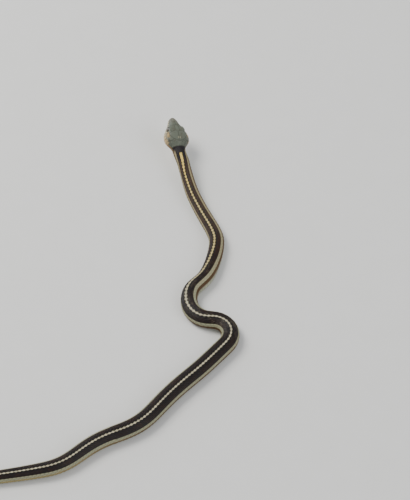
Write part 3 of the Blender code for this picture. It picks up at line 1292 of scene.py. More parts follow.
# ------------------------------------------------------------------ the head's details
@dataclass(frozen=True)
class HeadPlaces:
    """Places on the head's skin, by distance behind the snout and by how far down they lie.

    Down is 0 on the crown's middle, 1 on the mouth line and 2 under the chin, and reach is the
    length of skin from crown to lip, which turns it into metres.
    """

    behind: Array
    down: Array
    reach: Array

    @classmethod
    def of(cls, points: Array, behind: Array, around: Array) -> "HeadPlaces":
        """The places of a grid's points.

        Args:
            points: The head's plain surface, in the head's frame, a closed ring in each row.
            behind: Distances behind the snout.
            around: Degrees from the middle of the crown.

        Returns:
            The places.
        """
        arc = np.linalg.norm(np.diff(points, axis=1, append=points[:, :1]), axis=-1)
        reach = np.sum(np.where(np.abs(around) <= 90, arc, 0), axis=1, keepdims=True) / 2
        return cls(behind, np.abs(around) / 90, np.broadcast_to(reach, around.shape))


@dataclass(frozen=True)
class Mound:
    """A soft swelling of the head, or a hollow where its height is less than 0.

    It has its middle and its spread behind the snout, and the same two down the side.
    """

    behind: Pair
    down: Pair
    height: float

    def rise(self, at: HeadPlaces) -> Array:
        """How far it moves the skin outwards."""
        return self.height * bump_of(at.behind, *self.behind) * bump_of(at.down, *self.down)


@dataclass(frozen=True)
class Nostril:
    """A round pit with a low rim."""

    behind: float = 2.0 * MM
    down: float = 0.54
    radius: float = 0.36 * MM
    floor: float = 0.1 * MM
    depth: float = 0.5 * MM
    rim: Pair = (0.468 * MM, 0.12 * MM)
    rim_height: float = 0.06 * MM
    # Distance from the middle within which the pit is fully dark with painted shade, which fades
    # out at the pit's edge.
    shade: float = 0.16 * MM

    def relief(self, at: HeadPlaces) -> tuple[Array, Array]:
        """How far it moves the skin outwards, and the painted shade in the pit.

        Args:
            at: Places on the head.

        Returns:
            The two, with one number for each place.
        """
        away = np.hypot(at.behind - self.behind, (at.down - self.down) * at.reach)
        rise = self.rim_height * bump_of(away, *self.rim)
        rise = rise - self.depth * ease(away, self.radius, self.floor)
        return rise, ease(away, self.radius, self.shade)


@dataclass(frozen=True)
class Mouth:
    """The crease of the mouth, with the lower lip a little inside the upper.

    A lip has the distances below the mouth line between which it sets in, and then those
    between which it ends. The crease ends between two distances behind the mouth's corner.
    """

    corner: float
    width: float = 0.13 * MM
    depth: float = 0.34 * MM
    middle: float = 0.03 * MM
    overbite: float = 0.16 * MM
    lower: tuple[Pair, Pair] = ((0, 0.06 * MM), (2.2 * MM, 0.5 * MM))
    upper: tuple[Pair, Pair] = ((-0.7 * MM, -0.12 * MM), (0.02 * MM, -0.08 * MM))
    ends: Pair = (0.5 * MM, -0.3 * MM)

    def shade(self, away: Array) -> Array:
        """Painted shade in the mouth's crease: how dark the skin is at a distance from the mouth
        line.
        """
        return ease(away, self.width, 0)

    def relief(self, at: HeadPlaces) -> tuple[Array, Array]:
        """How far the mouth moves the skin outwards, and the painted shade in its crease.

        Args:
            at: Places on the head.

        Returns:
            The two, with one number for each place.
        """
        below = (at.down - 1) * at.reach
        length = ease(at.behind, *(self.corner + end for end in self.ends))
        crease = -self.depth * bump_of(below, self.middle, self.width)
        lower, upper = (
            ease(below, *begins) * ease(below, *ends) for begins, ends in (self.lower, self.upper)
        )
        shape = crease - self.overbite * lower + self.overbite / 2 * upper
        return shape * length, self.shade(np.abs(below)) * length


@dataclass(frozen=True)
class Shields:
    """The sutures between the head's large shields.

    Each line is a chain of (behind, down) points: millimetres behind the snout, and how far
    down the side they lie, 0 on the crown's middle, 1 on the mouth line and 2 under the chin.
    """

    lines: tuple[tuple[Pair, ...], ...] = (
        # rostral, internasals, prefrontals
        ((1.1, 0.0), (0.9, 0.28), (0.6, 0.44), (0.7, 0.72), (0.9, 1.0)),
        ((1.1, 0.0), (6.3, 0.0)),
        ((3.5, 0.0), (3.3, 0.34)),
        ((0.9, 0.28), (1.7, 0.36), (3.3, 0.34), (3.8, 0.52), (5.9, 0.52), (7.1, 0.4)),
        # frontal, supraocular, parietal
        ((6.3, 0.0), (6.4, 0.17), (7.1, 0.4), (8.1, 0.47), (10.7, 0.47), (11.7, 0.36)),
        ((6.4, 0.17), (9.2, 0.14), (10.8, 0.15), (11.9, 0.0)),
        ((10.8, 0.15), (11.7, 0.36), (12.6, 0.52), (14.4, 0.52), (17.0, 0.35), (18.3, 0.05)),
        ((18.3, 0.05), (18.3, 0.0)),
        ((11.9, 0.0), (18.3, 0.0)),
        # nasal, loreal, preocular
        ((2.1, 0.36), (2.1, 0.74)),
        ((3.8, 0.52), (3.7, 0.74)),
        ((5.9, 0.52), (5.8, 0.75)),
        # postoculars and temporals
        ((12.6, 0.52), (12.5, 0.69), (11.9, 0.83)),
        ((11.1, 0.57), (12.6, 0.59)),
        ((11.1, 0.71), (12.4, 0.71)),
        ((14.4, 0.52), (15.3, 0.65), (14.8, 0.8)),
        ((15.3, 0.65), (18.1, 0.65)),
        ((17.0, 0.35), (18.1, 0.5), (18.1, 0.65), (17.8, 0.85)),
        # the upper lip
        ((0.7, 0.72), (2.1, 0.74), (3.7, 0.74), (5.8, 0.75), (7.5, 0.82)),
        ((11.3, 0.85), (13.5, 0.82), (15.7, 0.8), (17.8, 0.85), (18.5, 1.0)),
        # the mental, the lower lip and the chin shields
        ((1.6, 2.0), (1.3, 1.55), (1.0, 1.0)),
        ((1.3, 1.55), (2.4, 1.36), (3.9, 1.34), (7.4, 1.32), (9.8, 1.34)),
        ((9.8, 1.34), (14.1, 1.32), (17.9, 1.2)),
        ((2.3, 1.0), (2.4, 1.36)),
        ((3.7, 1.0), (3.9, 1.34)),
        ((5.3, 1.0), (5.6, 1.33)),
        ((7.2, 1.0), (7.4, 1.32)),
        ((9.5, 1.0), (9.8, 1.34)),
        ((11.9, 1.0), (12.0, 1.34)),
        ((14.1, 1.0), (14.1, 1.32)),
        ((16.1, 1.0), (16.1, 1.26)),
        ((2.4, 1.36), (6.1, 1.62), (7.0, 2.0)),
        ((6.1, 1.62), (9.3, 1.55), (12.6, 1.8), (12.9, 2.0)),
        ((1.6, 2.0), (12.9, 2.0)),
    )
    lip_lines: tuple[tuple[Pair, ...], ...] = (
        ((2.1, 1.0), (2.1, 0.74)),
        ((3.6, 1.0), (3.7, 0.74)),
        ((5.3, 1.0), (5.6, 0.75)),
        ((7.3, 1.0), (7.5, 0.82)),
        ((9.5, 1.0), (9.5, 0.86)),
        ((11.8, 1.0), (11.4, 0.85)),
        ((13.8, 1.0), (13.5, 0.82)),
        ((16.2, 1.0), (15.7, 0.8)),
    )
    rear: Profile = Profile((
        (0, 18.5), (0.05, 18.5), (0.2, 17.9), (0.35, 17.2), (0.47, 18.1), (0.62, 18.3),
        (0.82, 18.0), (1.0, 18.6), (1.2, 18.0), (1.3, 14.6), (1.38, 10.2), (1.5, 8.9),
        (1.58, 9.5), (1.68, 11.1), (1.8, 12.8), (2.0, 13.1),
    ))
    groove: float = 0.20 * MM
    groove_floor: float = 0.03 * MM
    groove_depth: float = 0.11 * MM
    dome: float = 0.05 * MM
    dome_width: float = 0.9 * MM
    bar_width: Pair = (0.42 * MM, 0.12 * MM)
    bar_top: Pair = (1.0, 0.84)
    room_step: float = 0.2 * MM
    pull: float = 0.5
    rear_points: int = 61

    def rear_line(self) -> tuple[Pair, ...]:
        """The shields' rear edge as a chain of points."""
        downs = np.linspace(0, 2, self.rear_points).tolist()
        return tuple((float(self.rear(down)), down) for down in downs)

    def cover(self, at: HeadPlaces) -> Array:
        """1 on the shields and 0 behind them, where the skin makes room for scales."""
        return 1 - ease(at.behind - self.rear(at.down) * MM, 0, self.room_step)

    @staticmethod
    def lengths(lines: tuple, at: HeadPlaces) -> Iterator[tuple]:
        """Every straight length of some sutures, as seen from each place.

        Args:
            lines: The sutures.
            at: The places.

        Yields:
            The length's own way towards the tail and down the side, then the way from the
            place to its start, all in metres.
        """
        for line in lines:
            for (u0, w0), (u1, w1) in zip(line, line[1:]):
                long_u, long_w = (u1 - u0) * MM, (w1 - w0) * at.reach
                yield long_u, long_w, u0 * MM - at.behind, (w0 - at.down) * at.reach

    def distance(self, lines: tuple, at: HeadPlaces) -> Array:
        """How far each place lies from the nearest of some sutures, in metres.

        Args:
            lines: The sutures.
            at: The places.

        Returns:
            One distance for each place.
        """
        nearest = np.full(at.behind.shape, 1.0)
        for long_u, long_w, to_u, to_w in self.lengths(lines, at):
            t = np.clip(-(to_u * long_u + to_w * long_w) / (long_u**2 + long_w**2), 0, 1)
            nearest = np.minimum(nearest, np.hypot(to_u + t * long_u, to_w + t * long_w))
        return nearest

    def relief(self, at: HeadPlaces, behind: float) -> tuple[Array, ...]:
        """The shields' gentle domes and the grooves between them.

        Args:
            at: Places on the head.
            behind: How far the skin moves outwards behind the shields.

        Returns:
            How far each point moves outwards, how dark its suture is, and how dark its lip bar.
        """
        plate = self.cover(at)
        lip_gap = self.distance(self.lip_lines, at)
        gap = np.minimum(lip_gap, self.distance(self.lines, at))
        dome = self.dome * ease(gap, 0, self.dome_width)
        move = dome - self.groove_depth * ease(gap, self.groove, 0)
        dark = plate * ease(gap, self.groove, self.groove_floor)
        bar = plate * ease(lip_gap, *self.bar_width) * ease(at.down, *self.bar_top)
        return plate * move + (1 - plate) * behind, dark, bar

    def slides(self, at: HeadPlaces, rows: Array, columns: Array) -> tuple:
        """How far a grid's points move to lie on the sutures that pass within half a step.

        A suture that runs mostly lengthwise draws points along their ring, and any other
        draws them along their column, so that it takes one point from each.

        Args:
            at: The places of the grid's points.
            rows: The distance between rings.
            columns: The distance between columns.

        Returns:
            The ways towards the tail and down the side, in metres, and which points move.
        """
        ahead, aside = np.zeros((2, *at.behind.shape))
        least = np.full(at.behind.shape, self.pull)
        lines = (*self.lines, *self.lip_lines, self.rear_line())
        for long_u, long_w, to_u, to_w in self.lengths(lines, at):
            lengthwise = np.abs(long_u) * columns > np.abs(long_w) * rows
            long = np.where(lengthwise, long_u, long_w)
            t = -np.where(lengthwise, to_u, to_w) / long
            beyond = np.abs(t - np.clip(t, 0, 1)) * np.abs(long)
            t = np.clip(t, 0, 1)
            way = np.where(lengthwise, to_w + t * long_w, to_u + t * long_u)
            steps = np.abs(way) / np.where(lengthwise, columns, rows)
            inside = beyond < self.pull * np.where(lengthwise, rows, columns)
            near = (steps < least) & inside
            least = np.where(near, steps, least)
            ahead = np.where(near, np.where(lengthwise, 0, way), ahead)
            aside = np.where(near, np.where(lengthwise, way, 0), aside)
        return ahead, aside, least < self.pull


# ------------------------------------------------------------------ the skin
@dataclass
class Skin:
    """One skin from the snout to the tail's tip, under all the scales."""

    form: SnakeForm
    lattice: Lattice
    seat: EyeSeat
    shields: Shields
    nostril: Nostril = Nostril()
    brow: Mound = Mound((9.1 * MM, 2.1 * MM), (0.46, 0.09), 0.27 * MM)
    cheek: Mound = Mound((5.0 * MM, 1.3 * MM), (0.61, 0.12), -0.16 * MM)
    head_columns: int = 300
    head_spacing: float = 0.135 * MM
    head_gathering: float = 1.08
    body_columns: int = 100
    body_spacing: float = 1.6 * MM
    crowding: float = 0.6
    crowd_fade: Pair = (16 * MM, 23 * MM)
    snout_rings: int = 9
    snout_bulge: float = 0.5 * MM
    cap_height: float = 2.2 * MM
    head_share: float = 0.55
    lengths: int = 6
    gutter: float = 0.03
    tip_rings: tuple[float, ...] = (1.1 * MM, 0.7 * MM, 0.4 * MM, 0.2 * MM, 0.08 * MM, 0)
    tone: float = 0.45
    weld: float = 0.02 * MM

    def __post_init__(self) -> None:
        """Place the mouth."""
        self.mouth = Mouth(self.form.head.mouth_corner)

    def columns(self, behind: float) -> Array:
        """Where the head's columns lie around it, crowded at the mouth line near the snout.

        Args:
            behind: Distance behind the snout.

        Returns:
            Degrees from the middle of the crown.
        """
        side = np.arange(self.head_columns) / self.head_columns * 2 - 1
        crowd = self.crowding * float(1 - ease(np.array(behind), *self.crowd_fade))
        return 180 * (side + crowd * np.sin(2 * np.pi * side) / (2 * np.pi))

    def relief(self, at: HeadPlaces) -> tuple[Array, Array, Array]:
        """The head's fine shape.

        Args:
            at: The places of its points.

        Returns:
            How far each point moves outwards, how dark it is along the sutures and with painted
            shade in the mouth's crease and the nostrils, and how dark its lip bar.
        """
        move, dark, bar = self.shields.relief(at, -self.form.coat_depth)
        lips, crease = self.mouth.relief(at)
        nostril, pit = self.nostril.relief(at)
        move = move + lips + self.brow.rise(at) + self.cheek.rise(at) + nostril
        return move, np.maximum.reduce([dark, crease, pit]), bar

    def drawn_in(self, points: Array, behind: Array, around: Array) -> tuple:
        """Slide the grid's points onto the sutures that pass within half a step of them.

        Args:
            points: The head's plain surface, in the head's frame.
            behind: Distances behind the snout.
            around: Degrees from the middle of the crown.

        Returns:
            The same three as they lie now, and which points slid.
        """
        at = HeadPlaces.of(points, behind, around)
        rows, columns = np.gradient(behind, axis=0), sideways(around) % 360 / 2
        tailward = np.gradient(points, axis=0) / rows[..., None]
        rightward = sideways(points) / 2 / columns[..., None]
        ahead, aside, moved = self.shields.slides(at, rows, columns / 90 * at.reach)
        turn = 90 * aside / at.reach * np.where(around < 0, -1, 1)
        points = points + tailward * ahead[..., None] + rightward * turn[..., None]
        return points, behind + ahead, around + turn, moved

    def head_sheet(self) -> tuple[Sheet, Array]:
        """The head with its relief, from the point of the snout to the nape.

        Returns:
            The sheet, and which of its points lie on a suture.
        """
        head = self.form.head
        count = math.ceil(head.length / self.head_spacing)
        places = head.length * (np.arange(count + 1) / count) ** self.head_gathering
        around = np.stack([self.columns(place) for place in places])
        points = np.stack([head.ring(p, a) for p, a in zip(places, around)])
        behind = np.broadcast_to(places[:, None], around.shape)
        points, behind, around, on_suture = self.drawn_in(points, behind, around)
        move, dark, bar = self.relief(HeadPlaces.of(points, behind, around))
        normal = unit(np.cross(np.gradient(points, axis=0), sideways(points)))
        points, off = self.seat.fit(points + normal * move[..., None], head.length)
        clear = ease(off, *self.seat.clear)
        # The rim scales' dark edge and painted shade where the skin meets each eye, joined to the
        # sutures' darkness.
        dark = np.maximum(dark * clear, ease(off, *self.seat.rim))
        points = self.form.to_world(points)
        points[-1] = self.under_scales(behind[-1], around[-1])
        cap = self.snout_cap(points[0])
        flat = np.zeros(cap.shape[:2])
        sheet = self.sheet(
            np.concatenate([cap, points]),
            np.concatenate([flat, behind]),
            np.concatenate([self.cap_turned(), around]),
            (1 - self.head_share, 1.0),
            # painted shade in the mouth's crease across the snout's cap, then the head's dark
            # edges
            edge=np.concatenate([self.mouth.shade(self.cap_across()), dark]),
            bar=np.concatenate([flat, bar * clear]),
        )
        return sheet, Sheet.closed(np.concatenate([flat > 0, on_suture]))

    def sheet(self, points: Array, along: Array, turned: Array, span: Pair,
              **others: Array) -> Sheet:
        """Close a grid's rows and add what the finish reads.

        Args:
            points: The grid's points, in the world.
            along: Distances behind the snout.
            turned: Degrees round the section.
            span: The lowest and highest place of its rows on the map.
            **others: More values.

        Returns:
            The sheet.
        """
        around = folded(self.form.lie.around(along, turned))
        ring, tone = self.lattice.number(along), np.full(along.shape, self.tone)
        values = dict(along=along, around=around, row=around, ring=ring, tone=tone, **others)
        closed = {name: Sheet.closed(grid) for name, grid in values.items()}
        return Sheet(Sheet.closed(points), closed, *span)

    def snout_cap(self, ring: Array) -> Array:
        """Rings that close the front of the snout, shrinking to a point on the mouth line.

        Args:
            ring: The foremost ring, in the world.

        Returns:
            The rings from the point outwards, with the point itself as the first.
        """
        head = self.form.head
        centre = self.form.to_world(np.array([0.0, head.length, head.mouth_height(0)]))
        forward = np.array(self.form.head_frame.to_3x3() @ Vector((0, 1, 0)))
        share = self.cap_shares()[..., None]
        plain = self.form.to_world(head.ring(0.0, self.columns(0.0)))
        edge = plain + (ring - plain) * share**2
        crease = self.mouth.depth * bump_of(self.cap_across(), 0, self.mouth.width)
        out = (1 - share**2) * (self.snout_bulge - crease[..., None])
        return centre + (edge - centre) * share + forward * out

    def cap_shares(self) -> Array:
        """How far out each of the cap's rings lies, from 0 at its point."""
        return (np.arange(self.snout_rings) / self.snout_rings)[:, None]

    def cap_across(self) -> Array:
        """Distances of the cap's points above or below the mouth line."""
        turned = np.abs(np.abs(self.columns(0)) - 90) / 90
        return turned * self.cap_height * self.cap_shares()

    def cap_turned(self) -> Array:
        """Degrees round the section on the cap, which close in on the mouth line."""
        around = self.columns(0)
        return np.copysign(90 + (np.abs(around) - 90) * self.cap_shares(), around)

    def under_scales(self, along: Array, turned: Array) -> Array:
        """Points of the body's skin, which lies the coat's depth inside the form.

        Args:
            along: Distances behind the snout.
            turned: Degrees round the section.

        Returns:
            The points, in the world.
        """
        around = self.form.lie.around(along, turned)
        normals = self.form.normals(along, around)
        return self.form.points(along, around) - normals * self.form.room(along)[..., None]

    def body_sheets(self) -> list[Sheet]:
        """The body in a few lengths, one below the other on the map, closed at the tail's tip.

        Returns:
            The sheets from the neck to the tail.
        """
        sheets = []
        ends = np.linspace(self.form.head.length, self.form.length, self.lengths + 1)
        side = np.arange(self.body_columns) / self.body_columns * 360 - 180
        share = (1 - self.head_share) / self.lengths
        for number, (start, end) in enumerate(zip(ends, ends[1:])):
            places = np.linspace(start, end, math.ceil((end - start) / self.body_spacing) + 1)
            if end == ends[-1]:
                places = np.sort(np.append(places, end - np.array(self.tip_rings)))
            along, turned = np.meshgrid(places, side, indexing="ij")
            points = self.under_scales(along, turned)
            if end == ends[-1]:
                points[-1] = points[-1].mean(axis=0)
            span = (share * (number + self.gutter), share * (number + 1 - self.gutter))
            sheets.append(self.sheet(points, along, turned, span))
        return sheets

    def build(self, material: Material) -> Object:
        """Make the skin.

        Args:
            material: Its finish.

        Returns:
            The skin, standing for every node of flesh.
        """
        mesh = bmesh.new()
        mesh.loops.layers.uv.new(UV_NAME)
        for name in STORED:
            mesh.verts.layers.float.new(name)
        sheet, on_suture = self.head_sheet()
        bmesh.ops.connect_verts(mesh, verts=list(sheet.lay(mesh)[on_suture]))
        neck, *others = self.body_sheets()
        first = neck.lay(mesh)[0]
        collar = [mesh.edges.get(pair) for pair in zip(first, first[1:])]
        cuts = self.head_columns // self.body_columns - 1
        bmesh.ops.subdivide_edges(mesh, edges=collar, cuts=cuts)
        for length in others:
            length.lay(mesh)
        borders = [vert for vert in mesh.verts if vert.is_boundary]
        bmesh.ops.remove_doubles(mesh, verts=borders, dist=self.weld)
        bmesh.ops.recalc_face_normals(mesh, faces=mesh.faces)
        return make_object("skin", mesh, material)


# ------------------------------------------------------------------ scales
@dataclass(frozen=True)
class Blank:
    """One scale laid flat: X across, Y from its root to its free tip, Z its height in mm.

    Across, the edge shade sets in between two shares of the half width, and lengthwise
    between two places near the tip. The keel narrows to nothing on either side, and its height
    at Y is a share of it and more towards the tip. The underside has a strip of the map.
    """

    columns: int = 4
    rows_at: tuple[float, ...] = (-0.5, -0.2, 0.12, 0.36, 0.5)
    outline: Profile = Profile((
        (-0.5, 0.62), (-0.2, 0.96), (0.05, 1.0), (0.25, 0.90), (0.4, 0.66), (0.5, 0.30),
    ))
    root_height: float = -0.02
    tip_height: float = 0.23
    keel: float = 0.13
    keel_narrowing: float = 4.5
    keel_rise: Pair = (0.85, 0.3)
    droop: float = 0.06
    flatness: float = 2.0
    thickness: float = 0.10
    shrink: Pair = (0.9, 0.95)
    side_shade: Pair = (0.55, 0.95)
    tip_shade: Pair = (0.34, 0.5)
    margin: float = 0.10
    low_margin: float = 0.3
    strip: float = 0.14
    strip_used: Pair = (0.2, 0.5)

    def mesh(self) -> tuple[Array, list, Array]:
        """Make the blank.

        Returns:
            Its points, its faces as lists of point numbers, and its map, one pair for each
            face corner.
        """
        made = bmesh.new()
        flat = made.verts.layers.float_vector.new("flat")
        low = made.verts.layers.int.new("low")
        rows = len(self.rows_at) - 1
        bmesh.ops.create_grid(made, x_segments=self.columns, y_segments=rows, size=0.5)
        grown = bmesh.ops.extrude_face_region(made, geom=list(made.faces), use_keep_orig=True)
        below = [v for v in grown["geom"] if isinstance(v, bmesh.types.BMVert)]
        under = [f for f in grown["geom"] if isinstance(f, bmesh.types.BMFace)]
        for vert in made.verts:
            vert[flat] = vert.co
            self.shape(vert)
        for vert in below:
            vert[low] = 1
        bmesh.ops.translate(made, vec=(0, 0, -self.thickness), verts=below)
        bmesh.ops.scale(made, vec=(*self.shrink, 1), verts=below)
        bmesh.ops.dissolve_faces(made, faces=under)
        bmesh.ops.recalc_face_normals(made, faces=made.faces)
        made.verts.index_update()
        points = np.array([v.co for v in made.verts])
        faces = [[v.index for v in f.verts] for f in made.faces]
        pairs = []
        for face in made.faces:
            under_side = all(v[low] for v in face.verts)
            for vert in face.verts:
                inset = self.margin * (self.low_margin if vert[low] else 1.0)
                pairs.append(self.cell(vert[flat].x, vert[flat].y, inset, under_side))
        made.free()
        return points, faces, np.array(pairs)

    def cell(self, x: float, y: float, inset: float, under_side: bool) -> Pair:
        """A flat point's place in its cell of the map, whose lowest strip is the underside's.

        Args:
            x: The point's place across.
            y: Its place lengthwise.
            inset: How far the outline lies inside the cell.
            under_side: Whether its face looks down.

        Returns:
            The place, in cells.
        """
        along = inset + (1 - 2 * inset) * (y + 0.5)
        across = inset + (1 - 2 * inset) * (x + 0.5)
        if under_side:
            start, size = self.strip_used
            return along, self.strip * (start + size * across)
        return along, self.strip + (1 - self.strip) * across

    def shape(self, vert: bmesh.types.BMVert) -> None:
        """Move a flat grid's point to its place on a lance-shaped scale with a keel.

        Args:
            vert: The point.
        """
        across = vert.co.x
        y = self.rows_at[round((vert.co.y + 0.5) * (len(self.rows_at) - 1))]
        ramp = (y + 0.5) * (self.tip_height - self.root_height) + self.root_height
        least, more = self.keel_rise
        ridge = self.keel * max(1 - abs(across) * self.keel_narrowing, 0) * (least + more * y)
        sag = self.droop * abs(2 * across) ** self.flatness
        vert.co = (across * float(self.outline(y)), y, ramp + ridge - sag)

    def shade(self, points: Array) -> Array:
        """How far each of its points lies in its shaded edge."""
        side = ease(2 * np.abs(points[:, 0]), *self.side_shade)
        return np.maximum(side, ease(points[:, 1], *self.tip_shade))


@dataclass
class Place:
    """Where the scales of one piece go: one entry for each scale.

    Lengths are in metres and millimetres of height, widths in degrees, ring in scales along,
    and cell in columns and rows of the map.
    """

    along: Array
    around: Array
    long: Array
    wide: Array
    high: Array
    ring: Array
    cell: Array


@dataclass
class Coat:
    """What every piece of scales shares: the surface, its rings and the finish.

    The ring span is how many rings the markings count along one scale.
    """

    ring_span: ClassVar[float] = 1.45
    form: SnakeForm
    lattice: Lattice
    material: Material

    def piece(self, name: str, blank: Blank, place: Place, seed: int) -> Object:
        """Repeat a blank over the snake as one mesh.

        Args:
            name: The piece's name.
            blank: The scale to repeat.
            place: Where each one goes.
            seed: The start of the random tones.

        Returns:
            The piece, with its stored values and its map.
        """
        points, faces, pairs = blank.mesh()
        count, step = len(place.along), len(points)
        x, y, z = points.T
        along = place.along[:, None] + y * place.long[:, None]
        around = place.around[:, None] + x * place.wide[:, None]
        lift = z * MM * place.high[:, None] - self.form.room(along)
        normals = self.form.normals(along, around)
        world = self.form.points(along, around) + normals * lift[..., None]
        world[..., 2] = np.maximum(world[..., 2], 0)
        index = [[v + i * step for v in face] for i in range(count) for face in faces]
        mesh = bpy.data.meshes.new(name)
        mesh.from_pydata(world.reshape(-1, 3), [], index)
        values = (
            along,
            folded(around),
            np.outer(folded(place.around), np.ones(step)),
            place.ring[:, None] + y * self.ring_span,
            np.outer(np.random.default_rng(seed).random(count), np.ones(step)),
            np.outer(np.ones(count), blank.shade(points)),
            np.zeros(along.shape),
        )
        for value_name, value in zip(STORED, values):
            add_values(mesh, value_name, value)
        corner = place.cell[:, None, :] + pairs[None, :, :]
        add_uv(mesh, corner.reshape(-1, 2) / (place.cell.max(axis=0) + 1))
        return make_object(name, mesh, self.material)


@dataclass
class ScaleCoat(Coat):
    """The keeled scales of the back and sides, in rows that thin out towards the tail.

    Small smooth scales fill the throat, between the chin shields and the first scute.
    """

    shields: Shields
    overlap: float = 1.45
    tuck: float = 1.2
    widening: float = 0.05
    rows: tuple[tuple[float, int], ...] = (
        (0, 19), (289, 17), (384, 15), (419, 13), (435, 11), (455, 9), (483, 7), (509, 5),
    )
    piece_ends: tuple[float, ...] = (110, 200, 289, 384, 546)
    tip: float = 1.0
    thickness: Profile = Profile((
        (8, 0.5), (20, 0.55), (29, 0.75), (60, 0.9), (120, 1.0), (416, 0.9), (500, 0.5),
        (546, 0.3),
    ))
    throat_row: float = 11.6
    throat_rows: int = 6
    throat_end: float = 21.3
    throat_seed: int = 21
    throat_blank: Blank = Blank(keel=0.0, droop=0.04, tip_height=0.20)

    def row_places(self, along: float) -> tuple[Array, Array]:
        """The middle and width of each row of scales at a place, in degrees, left to right.

        Args:
            along: Distance behind the snout.

        Returns:
            The middles and the widths.
        """
        count = [rows for start, rows in self.rows if along >= start * MM][-1]
        widths = 1 + self.widening * np.arange((count + 1) // 2)
        widths *= self.form.lie.edge / (widths.sum() - widths[0] / 2)
        middles = np.cumsum(widths) - widths / 2 - widths[0] / 2
        return (
            np.concatenate((-middles[:0:-1], middles)),
            np.concatenate((widths[:0:-1], widths)),
        )

    def throat_places(self, along: float) -> tuple[Array, Array]:
        """The same for the throat, where the rows don't change along it.

        Args:
            along: Distance behind the snout.

        Returns:
            The middles and the widths.
        """
        steps = np.arange(-self.throat_rows, self.throat_rows + 1)
        middles = 180 + steps * self.throat_row
        return middles, np.full(len(steps), self.throat_row)

    def gather(self, start: float, end: float, places_at: Callable) -> Place:
        """Every scale between two distances behind the snout that lies behind the shields.

        Args:
            start: Where the piece begins, in millimetres.
            end: Where it ends.
            places_at: The method that gives the rows' places and widths.

        Returns:
            Their places.
        """
        found = []
        along, pitch = self.lattice.rings()
        inside = np.flatnonzero((along >= start * MM) & (along < end * MM))
        for number, i in enumerate(inside):
            middles, widths = places_at(along[i])
            for j, (middle, wide) in enumerate(zip(middles, widths)):
                offset = 0.5 * ((j - len(middles) // 2) % 2)
                centre = along[i] + offset * pitch[i]
                first = float(self.shields.rear(folded(middle) / 90)) * MM
                if first <= centre <= self.form.length - self.tip * MM:
                    found.append((
                        centre, middle, pitch[i] * self.overlap, wide * self.tuck,
                        float(self.thickness(centre / MM)), i + offset, number, j,
                    ))
        *columns, ring_number, row_number = np.array(found).T
        return Place(*columns, np.stack([ring_number, row_number], -1))

    def build(self) -> list[Object]:
        """Make the coat.

        Returns:
            Its pieces from head to tail, with the throat's last.
        """
        pieces = []
        starts = (0, *self.piece_ends)
        for number, (start, end) in enumerate(zip(starts, self.piece_ends)):
            place = self.gather(start, end, self.row_places)
            pieces.append(self.piece(f"scales_{number + 1}", Blank(), place, number))
        place = self.gather(0, self.throat_end, self.throat_places)
        throat = self.piece("throat_scales", self.throat_blank, place, self.throat_seed)
        return [*pieces, throat]


@dataclass
class BellyScutes(Coat):
    """The broad scutes under the neck and trunk, and the paired ones under the tail.

    The tail's scutes are as wide as the trunk's, so each of a pair reaches over the middle, and
    its neighbour half a ring behind it covers what lies there.
    """

    start: float = 20.7
    tip: float = 1.2
    overlap: float = 1.35
    width: float = 154.0
    map_columns: int = 8
    tail_thickness: float = 0.3
    blank: Blank = Blank(
        columns=14,
        rows_at=(-0.5, 0.0, 0.42, 0.5),
        outline=Profile(((-0.5, 0.97), (0.2, 1.0), (0.42, 0.98), (0.5, 0.93))),
        tip_height=0.19,
        keel=0.0,
        droop=0.14,
        flatness=6.0,
        thickness=0.08,
        shrink=(0.99, 0.95),
    )

    def build(self) -> list[Object]:
        """Make the trunk's scutes and the tail's.

        Returns:
            The two pieces.
        """
        along, pitch = self.lattice.rings()
        vent, last = self.form.vent, self.form.length - self.tip * MM
        trunk = np.flatnonzero((along > self.start * MM) & (along <= vent))
        tail = np.flatnonzero((along > vent) & (along < last))
        middles = np.full(len(trunk), 180.0)
        both, steps = np.repeat(tail, 2), np.repeat(pitch[tail], 2)
        sides = np.tile([180 - self.width / 4, 180 + self.width / 4], len(tail))
        shift = np.tile([0, 0.5], len(tail)) * steps
        return [
            self.scutes("belly_scutes", along[trunk], pitch[trunk], middles, trunk),
            self.scutes("tail_scutes", along[both] + shift, steps, sides, both),
        ]

    def scutes(self, name: str, along: Array, pitch: Array, around: Array,
               ring: Array) -> Object:
        """One piece of scutes.

        Args:
            name: The piece's name.
            along: Where each scute lies behind the snout.
            pitch: The distance to the next.
            around: Its middle, in degrees around.
            ring: Its number along the snake.

        Returns:
            The piece.
        """
        count = len(along)
        rows = math.ceil(count / self.map_columns)
        cell = np.stack([np.arange(count) // rows, np.arange(count) % rows], -1)
        wide = np.full(count, self.width)
        high = np.interp(along, [self.form.vent, self.form.length], [1, self.tail_thickness])
        place = Place(along, around, pitch * self.overlap, wide, high, ring, cell)
        return self.piece(name, self.blank, place, count)


# ------------------------------------------------------------------ the eyes
@dataclass
class Eye:
    """One eye: a ball with its pole looking out, under its clear scale.

    The finish goes by the distance off the axis, in mm, and hidden stands for the half that
    lies in the head.
    """

    form: SnakeForm
    seat: EyeSeat
    side: Side
    segments: int = 48
    rings: int = 32
    hidden: float = 2.0

    @property
    def node(self) -> str:
        """The CAD node that it stands for."""
        return f"eye_{self.side.name.lower()}"

    def build(self, material: Material) -> Object:
        """Make the eye.

        Args:
            material: Its finish.

        Returns:
            The eye.
        """
        mesh = bmesh.new()
        bmesh.ops.create_uvsphere(
            mesh, u_segments=self.segments, v_segments=self.rings, radius=self.seat.radius
        )
        places = [vert.co.copy() for vert in mesh.verts]
        off = [math.hypot(co.x, co.y) / MM if co.z > 0 else self.hidden for co in places]
        place = self.form.head_frame @ self.seat.frame(self.side, self.form.head.length)
        bmesh.ops.transform(mesh, matrix=place, verts=mesh.verts)
        eye = make_object(f"{self.node}_ball", mesh, material)
        add_values(eye.data, "off_axis", np.array(off))
        return eye


